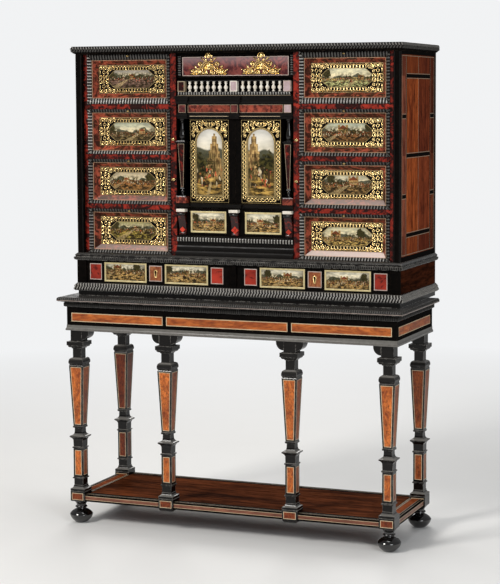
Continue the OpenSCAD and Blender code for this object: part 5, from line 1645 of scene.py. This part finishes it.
class CABINET_OT_fans(CabinetOperator, bpy.types.Operator):
    """Red plate of the top drawer with its two gilt crests"""

    bl_idname = "cabinet.fans"
    bl_label = "Crests of the top drawer"

    def build(self):
        body = "middle_top_drawer"
        low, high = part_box("fan_mounts")
        face, tall = low.y + 0.002, high.z - low.z
        plate = framed_plate("top_drawer_plate", (-0.185, face - 0.0004, low.z),
                             (0.185, high.y, high.z - 0.005), 0.0022, 0.0006,
                             ("Pewter line", "Rosy shell"))
        fit(plate, body, instead_of=["fan_mounts"])
        band = section_at(0, ((0, -4), (0, 0.4), (2, 1.6), (9, 1.6), (11, 0.4), (11, -4)))
        for side, sign in SIDES:
            stile = trimmed_run(f"top_drawer_ripple_{side}", band, tall, sizes().fine_pitch, 0.0012,
                                "Dim crests")
            settle(stile, (sign * 0.1965 + 0.0055, face + 0.0008, low.z + tall / 2), (0, -90, 0))
            fit(tidy_shell(stile, 60), body)
        crest = self.make_crest()
        for side, sign in SIDES:
            fit_copy(crest, f"crest_{side}", (sign * 0.0915, face - 0.0016, low.z + 0.003), body,
                     "Gilt brass", scale=(sign * 1.26, 1.7, 1.14))
        discard(crest)

    def make_crest(self):
        """Fan of rays over a shell, with scrolls and leaves on both sides and a finial."""
        thick = sizes().rod
        half = [
            rod("contour", (0.050, 0.004), 168, [(0.050, -55), (0.009, 150), (0.006, 120)], thick),
            rod("shell_edge", (0.0165, 0.018), 90, [(0.0165, 90)], thick, bud=False),
            rod("top_edge", (0.008, 0.048), 60, [(0.009, 95)], thick * 0.9),
            rod("foot", (0.0, 0.0022), 0, [(0, 0.052)], thick, bud=False),
        ]
        half += curls(((0.040, 0.0095), 0.0072, 200, -1, 0.9),
                      ((0.0245, 0.012), 0.0082, -30, 1, 0.9),
                      ((0.0225, 0.030), 0.0062, 150, -1, 0.8),
                      ((0.0315, 0.0085), 0.0058, 60, -1, 1.0),
                      ((0.0125, 0.0075), 0.0056, 100, 1, 1.0))
        half += [petal("leaf", spot, heading, length, 0.0056) for spot, heading, length in (
            ((0.012, 0.040), 48, 0.014), ((0.034, 0.018), 60, 0.012), ((0.046, 0.010), 40, 0.011),
            ((0.026, 0.026), 70, 0.011), ((0.017, 0.034), 20, 0.010), ((0.022, 0.004), 80, 0.011),
            ((0.040, 0.004), 110, 0.010), ((0.004, 0.004), 70, 0.012), ((0.007, 0.036), 90, 0.012))]
        near = joined("crest_half", half)
        far = copied(near, "crest_half", scale=(-1, 1, 1))
        rays = [petal("ray", (0, 0.017), angle, 0.0165, 0.0052) for angle in range(0, 181, 20)]
        finial = [petal("finial", (0, 0.047), angle, 0.014, 0.006) for angle in (58, 90, 122)]
        boss = turned("boss", ((0, 0), (5.2, 0), (5.4, 1.2), (4.2, 2.6), (2.4, 3.6), (0, 4)), 20)
        settle(boss, (0, 0, 0.0185), (90, 0, 0))
        return tidy_shell(joined("crest", [near, far, boss] + rays + finial), 50)


class CABINET_OT_door_mounts(CabinetOperator, bpy.types.Operator):
    """Gilt panels of the doors: chain border, spandrels, arch and picture"""

    bl_idname = "cabinet.door_mounts"
    bl_label = "Door mounts"

    arch, foot, spring = 0.046, 0.0232, 0.1917  # half width, bottom and spring of the picture

    def build(self):
        low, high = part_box("door_mount_right")
        middle = (low.x + high.x) / 2
        panel = self.make_panel((high.x - low.x) / 2, high.z - low.z)
        picture = slab("arched_picture", arch_points(self.arch, self.foot, self.spring), 0.001)
        tidy_shell(picture)
        tall = self.spring + self.arch - self.foot
        for index, (side, sign) in enumerate(SIDES):
            body = f"cupboard_door_{side}"
            x = sign * middle
            fit_copy(panel, f"door_openwork_{side}", (x, low.y + 0.0012, low.z), body,
                     "Gilt brass", [f"door_mount_{side}"])
            view = make_picture(f"Picture of the {side} door", (x, low.z + self.foot + tall / 2),
                                2 * self.arch, tall, 61.7 + 5.9 * index, 0.42, TOWER_VIEW, 1.0)
            fit_copy(picture, f"door_picture_{side}", (x, low.y + 0.0016, low.z), body,
                     view)
        discard(panel, picture)

    def make_panel(self, half, tall):
        thick = sizes().rod
        parts = []
        top = tall - 0.0142
        for side in (1, -1):
            parts += chain((side * (half - 0.0092), 0.0128), 90, 15, 0.0125, thick * 1.25)
            for x, up, size, turn in (
                    (half - 0.0140, top, 0.0092, 150), (half - 0.0350, top + 0.0012, 0.0080, 60),
                    (half - 0.0540, top + 0.0030, 0.0062, 110),
                    (half - 0.0098, tall - 0.0345, 0.0066, 80),
                    (half - 0.0265, tall - 0.0325, 0.0066, 200),
                    (half - 0.0098, tall - 0.0500, 0.0056, 30),
                    (half - 0.0420, tall - 0.0270, 0.0042, 250)):
                parts.append(volute("spandrel", (side * x, up), size, 90 - side * (90 - turn),
                                    side, thick * 1.05))
            for x, up, heading, length in (
                    (half - 0.0245, top + 0.0030, 90, 0.0100),
                    (half - 0.0245, top - 0.0030, 270, 0.0110),
                    (half - 0.0460, top + 0.0030, 80, 0.0095),
                    (half - 0.0170, tall - 0.0250, 260, 0.0120),
                    (half - 0.0360, tall - 0.0260, 210, 0.0095),
                    (0.0035, tall - 0.0225, 35, 0.0130)):
                parts.append(petal("leaf", (side * x, up), 90 - side * (90 - heading), length,
                                   0.0056))
        parts.append(petal("leaf", (0, tall - 0.0225), 90, 0.0170, 0.0062))
        parts += chain((-0.0500, 0.0100), 0, 8, 0.0125, thick * 1.25)
        parts.append(rim("rim", upright(rectangle((-half, 0), (half, tall))), 0.0012, 0.0020))
        for outward, width, thickness in ((0.0048, 0.0034, 0.0040), (0.0006, 0.0016, 0.0026)):
            points = arch_points(self.arch + outward, self.foot - outward, self.spring)
            parts.append(rim("arch_rim", points, width, thickness))
        return tidy_shell(joined("door_openwork", parts), 50)


class CABINET_OT_middle_trim(CabinetOperator, bpy.types.Operator):
    """Red frieze over the doors, and the pale line along the lintel under it"""

    bl_idname = "cabinet.middle_trim"
    bl_label = "Trim of the middle section"

    def build(self):
        panels = []
        # The right end block of the frieze is shell with a painted sheen.
        for x0, x1, front, finish in (
                (-0.166, -0.0145, -0.126, "Bright shell"), (0.0145, 0.166, -0.126, "Bright shell"),
                (-0.0125, 0.0125, -0.132, "Rosy shell"), (-0.1965, -0.1715, -0.132, "Rosy shell"),
                (0.1715, 0.1965, -0.132, "Shell with painted sheen")):
            panels.append(framed_plate("frieze", (x0, front - 0.0007, 1.3695),
                                       (x1, front + 0.0004, 1.3955), 0.0012, 0.0003,
                                       ("Dull stringing", finish), 0.0002))
        fit(joined("red_frieze", panels), STAND)
        lintel = bar("lintel_line", (-0.158, -0.1302, 1.3574), (0.158, -0.1292, 1.3588), 0.0002)
        fit(lintel, STAND, "Stringing")


class CABINET_OT_balustrade(CabinetOperator, bpy.types.Operator):
    """Turned balusters, pedestals and rails above the doors"""

    bl_idname = "cabinet.balustrade"
    bl_label = "Balustrade"

    def build(self):
        low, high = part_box("balustrade")
        floor, ceiling = 1.4375, 1.4705
        baluster = turned("baluster", (
            (0, 0), (4.8, 0), (4.8, 2), (3.2, 3), (2.5, 4.6), (4.2, 7.4), (6.3, 11), (6.7, 14),
            (5.4, 17.6), (3.3, 20.6), (2.4, 23), (2.6, 24.4), (4.6, 25.4), (4.6, 27), (3.0, 28),
            (4.4, 30.4), (4.8, 33.5), (0, 33.5)), 24)
        row = [copied(baluster, "baluster", (sign * (0.0295 + 0.0212 * k), -0.1292, floor))
               for _, sign in SIDES for k in range(7)]
        discard(baluster)
        fit(joined("balusters", row), STAND, "Bone", ["balustrade"])
        rails = [bar("rail", (low.x, -0.1365, low.z), (high.x, -0.1215, floor), 0.0006),
                 bar("rail", (low.x, -0.1368, ceiling), (high.x, -0.1215, high.z), 0.0008)]
        fit(joined("balustrade_rails", rails), STAND, "Polished ebony")
        line = bar("balustrade_lines", (low.x, -0.1372, 1.4243), (high.x, -0.1362, 1.4254), 0.0002)
        fit(line, STAND, "Dull stringing")
        section = section_at(1.4268, ((0, 0), (0, 0.8), (1.2, 1.6), (7.6, 1.6), (8.8, 0.8),
                                      (8.8, 0)))
        ticks = trimmed_run("balustrade_ticks", section, 2 * high.x, 0.0092, 0.0012)
        fit(tidy_shell(settle(ticks, (0, -0.1362, 0)), 60), STAND)
        # The middle and right pedestals are shell with a painted sheen.
        stands = [framed_plate("pedestal", (x - 0.0122, -0.1378, floor - 0.0003),
                               (x + 0.0122, -0.122, ceiling + 0.0007), 0.0026, 0.0006, finishes,
                               0.0005)
                  for x, finishes in ((-0.1842, ("Dull stringing", "Dark shell")),
                                      (0, ("Bone", "Shell with painted sheen")),
                                      (0.1842, ("Pewter line", "Shell with painted sheen")))]
        fit(joined("balustrade_pedestals", stands), STAND)


class CABINET_OT_piers(CabinetOperator, bpy.types.Operator):
    """Piers beside the doors: block, bell and ball, tapering square shaft, cap and turned top"""

    bl_idname = "cabinet.piers"
    bl_label = "Piers"

    foot, head, half_foot, half_head = 1.1245, 1.2720, 0.0052, 0.0126  # of the square shaft

    def half_at(self, z):
        share = (z - self.foot) / (self.head - self.foot)
        return self.half_foot + (self.half_head - self.half_foot) * share

    def build(self):
        block = bar("pier_block", (-0.0182, -0.0168, 1.0762), (0.0182, 0.0168, 1.0977), 0.0012)
        corners = [(side * (self.half_at(z) - 0.0012), -self.half_at(z) - 0.0001, z)
                   for z, side in ((1.1275, -1), (1.1275, 1), (1.2690, 1), (1.2690, -1))]
        line = string_frame("pier_line", corners, 0.0011, 0.0003)
        panel = tidy_shell(slab("pier_inlay", corners, 0.0003))
        for name, parts, slot, finish in (
                ("pier", self.make_black_parts(), "ebonised_wood", "Polished ebony"),
                ("pier_inlay", [panel], "red_tortoiseshell", "Dark shell"),
                ("pier_block", [block], "red_tortoiseshell", "Bright shell"),
                ("pier_line", [line], "shelf_wood", "Dull stringing")):
            model = joined(name + "_model", parts)
            for side, sign in SIDES:
                fit_copy(model, f"{name}_{side}", (sign * PIER, -0.126, 0), STAND, finish,
                         ["column_piers"] if name == "pier" else ())
            discard(model)

    def make_black_parts(self):
        half, flare = self.half_foot, self.half_head / self.half_foot
        base = rectangle((-half, -half), (half, half))
        shaft = face_of("pier", [(x, y, self.foot) for x, y in base])
        extrude(0, 0, self.head - self.foot)
        bpy.ops.transform.resize(value=(flare, flare, 1))
        leave_edit()
        parts = [tidy_shell(shaft)]
        for half, z0, z1 in ((0.0165, 1.0975, 1.0992), (0.0072, 1.1215, 1.1247),
                             (0.0140, 1.2718, 1.2738), (0.0165, 1.2736, 1.2772),
                             (0.0135, 1.2770, 1.2790)):
            parts.append(bar("pier_step", (-half, -half, z0), (half, half, z1), 0.0005))
        bell_and_ball = ((0, 1099), (13.5, 1099), (13.5, 1100.4), (10.4, 1101.6), (7.2, 1104),
                         (5.2, 1107.4), (4.8, 1109.4), (6.4, 1111.6), (7.0, 1114.6), (6.4, 1117.8),
                         (4.6, 1120), (4.6, 1121.6), (0, 1121.6))
        top = ((0, 1279), (11.6, 1279), (11.8, 1281), (8.4, 1282.8), (7.0, 1284.6), (8.4, 1287),
               (10, 1292), (10.4, 1298), (9.4, 1305), (7.4, 1314), (5.8, 1323), (4.8, 1331),
               (4.6, 1335), (6.8, 1336.6), (7, 1338.6), (5, 1340), (5.4, 1342), (8.8, 1345),
               (9.4, 1349.6), (0, 1349.6))
        return parts + [turned("pier_turning", profile, 32) for profile in (bell_and_ball, top)]


class CABINET_OT_lower_front(CabinetOperator, bpy.types.Operator):
    """Consoles and framed pictures of the lower middle drawer"""

    bl_idname = "cabinet.lower_front"
    bl_label = "Front of the lower drawer"

    body = "middle_low_drawer"
    face, bottom, top = -0.125, 0.9728, 1.0572

    def build(self):
        bodies, caps, rolls, stones = zip(*(self.make_console(x) for x in (-PIER, 0, PIER)))
        stones = [stone for group in stones for stone in group]
        fit(tidy_shell(joined("console_bodies", bodies), 40), self.body,
            "Dark shell", ["lower_consoles"])
        for name, parts, slot, finish in (
                ("console_caps", caps, "gilt_brass", "Bone"),
                ("console_rolls", rolls, "ebonised_wood", "Polished ebony"),
                ("console_lozenges", stones, "red_tortoiseshell", "Vivid shell")):
            fit(joined(name, parts), self.body, finish)
        for index, (side, sign) in enumerate(SIDES):
            x0, x1 = sorted((sign * 0.033, sign * 0.159))
            framed_picture(f"Picture of the lower drawer, {side}", f"lower_picture_{side}",
                           self.body, (x0, self.face - 0.0012, 0.98),
                           (x1, self.face + 0.0025, 1.05), 0.0056, 0.0010,
                           83.1 + 9.7 * index, 0.56)

    def make_console(self, x):
        """Body, cap, roll and lozenges of one console; the middle one has four lozenges."""
        face, top = self.face, self.top
        profile = ((0, 0), (-7, 0), (-7.4, 3), (-6, 6), (-5, 10), (-5.2, 22), (-7.5, 36),
                   (-12, 50), (-15.5, 60), (-17, 68), (-17, 75), (0, 75))
        shape = face_of("console", [(x - 0.0125, face + y * MM, self.bottom + z * MM)
                                    for y, z in profile])
        extrude(0.025, 0, 0)
        leave_edit()
        modified(shape, "BEVEL", width=0.0008, segments=2, limit_method="ANGLE", angle_limit=0.9)
        cap = bar("console_cap", (x - 0.0155, face - 0.0225, top - 0.0095),
                  (x + 0.0155, face, top), 0.0012)
        half = ((3, 14.5), (3.4, 13.8), (5.6, 13.4), (5.8, 12.6), (4.8, 11))
        roll = turned("console_roll", [(0, -14.5)] + [(radius, -along) for radius, along in half]
                      + list(half[::-1]) + [(0, 14.5)], 24)
        settle(roll, (x, face - 0.0155, top - 0.0165), (0, 90, 0))
        side, spots = 0.0068, ((0, 0.0165),)
        if x == 0:
            side, spots = 0.0043, ((0, 0.011), (0.0068, 0.018), (-0.0068, 0.018), (0, 0.025))
        stones = []
        for aside, up in spots:
            stone = bar("lozenge", (-side, -0.0012, -side), (side, 0.0012, side), 0.0005)
            stones.append(settle(stone, (x + aside, face - 0.0066, self.bottom + up), (0, 45, 0)))
        return shape, cap, roll, stones


class CABINET_OT_corner_beads(CabinetOperator, bpy.types.Operator):
    """Thin polished beads along the corner posts"""

    bl_idname = "cabinet.corner_beads"
    bl_label = "Corner beads"

    def build(self):
        low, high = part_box("case_side_right")
        spots = ((high.x - 0.0025, low.y), (high.x - 0.0195, low.y), (high.x, low.y + 0.0025))
        beads = [strip("bead", (sign * x, y, low.z + 0.001), (sign * x, y, high.z - 0.001),
                       (0.0012, 0.0012, 0), 0.0008) for _, sign in SIDES for x, y in spots]
        fit(joined("corner_beads", beads), STAND, "Polished ebony")


class CABINET_OT_side_parquetry(CabinetOperator, bpy.types.Operator):
    """Lines and black bars of the side panels"""

    bl_idname = "cabinet.side_parquetry"
    bl_label = "Side parquetry"

    def build(self):
        low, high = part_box("side_panels")
        x, y0, y1 = high.x, low.y + SIDE_EDGE, high.y - SIDE_EDGE
        edge = 0.003
        border = rectangle((low.y + edge, low.z + edge), (high.y - edge, high.z - edge))
        lines = [string_frame("side_line", [(x, y, z) for y, z in border], 0.0016)]
        bars = []
        foot, head = low.z + 0.004, high.z - 0.004
        for y in (y0, y1, (low.y + high.y) / 2):
            lines.append(strip("side_line", (x, y, foot), (x, y, head), (0.0003, 0.0008, 0)))
        for y in (y0 + 0.0024, y1 - 0.0024):
            bars.append(bar("side_gap", (x - 0.0003, y - 0.0013, foot),
                            (x + 0.0005, y + 0.0013, head)))
        across = [(y0, y1, 0.001, z) for z in SIDE_BARS]
        across += [(a, b, 0.0, z) for z in (1.108, 1.358)
                   for a, b in ((low.y + 0.005, y0 - 0.001), (y1 + 0.001, high.y - 0.005))]
        for start, end, short, z in across:
            bars.append(bar("side_bar", (x - 0.0003, start + short, z - 0.0055),
                            (x + 0.0006, end - short, z + 0.0055), 0.0002))
            lines += [strip("side_line", (x, start, height), (x, end, height),
                            (0.0003, 0, 0.0008)) for height in (z - 0.0072, z + 0.0072)]
        for name, parts, finish in (("side_lines", lines, "Dull stringing"),
                                    ("side_bars", bars, "Ebonised wood")):
            right = joined(name + "_right", parts)
            left = copied(right, name + "_left", scale=(-1, 1, 1))
            fit(tidy_shell(right), STAND, finish)
            fit(left, STAND, finish)


CLASSES = [
    CabinetSizes, CabinetColours, CABINET_OT_studio, CABINET_OT_finishes, CABINET_OT_feet,
    CABINET_OT_leg_stringing, CABINET_OT_panel_stringing, CABINET_OT_ripple_mouldings,
    CABINET_OT_drawer_ripples, CABINET_OT_drawer_mounts, CABINET_OT_plinth_plates,
    CABINET_OT_fans, CABINET_OT_door_mounts, CABINET_OT_middle_trim, CABINET_OT_balustrade,
    CABINET_OT_piers, CABINET_OT_lower_front, CABINET_OT_corner_beads,
    CABINET_OT_side_parquetry,
]
OPERATORS = [kind for kind in CLASSES if issubclass(kind, bpy.types.Operator)]


class CABINET_PT_sidebar(bpy.types.Panel):
    """Lists the steps in the order in which they run"""

    bl_label = "Cabinet on Stand"
    bl_idname = "CABINET_PT_sidebar"
    bl_space_type = "VIEW_3D"
    bl_region_type = "UI"
    bl_category = "Cabinet"

    def draw(self, context):
        for group in (context.scene.cabinet_sizes, context.scene.cabinet_colours):
            box = self.layout.box()
            for name in group.__annotations__:
                box.prop(group, name)
        for kind in OPERATORS:
            self.layout.operator(kind.bl_idname)


def register():
    for kind in (*CLASSES, CABINET_PT_sidebar):
        bpy.utils.register_class(kind)
    bpy.types.Scene.cabinet_sizes = PointerProperty(type=CabinetSizes)
    bpy.types.Scene.cabinet_colours = PointerProperty(type=CabinetColours)


def unregister():
    del bpy.types.Scene.cabinet_colours
    del bpy.types.Scene.cabinet_sizes
    for kind in reversed((*CLASSES, CABINET_PT_sidebar)):
        bpy.utils.unregister_class(kind)


def main():
    register()
    for kind in OPERATORS:
        family, step = kind.bl_idname.split(".")
        getattr(getattr(bpy.ops, family), step)()


if __name__ == "__main__":
    main()
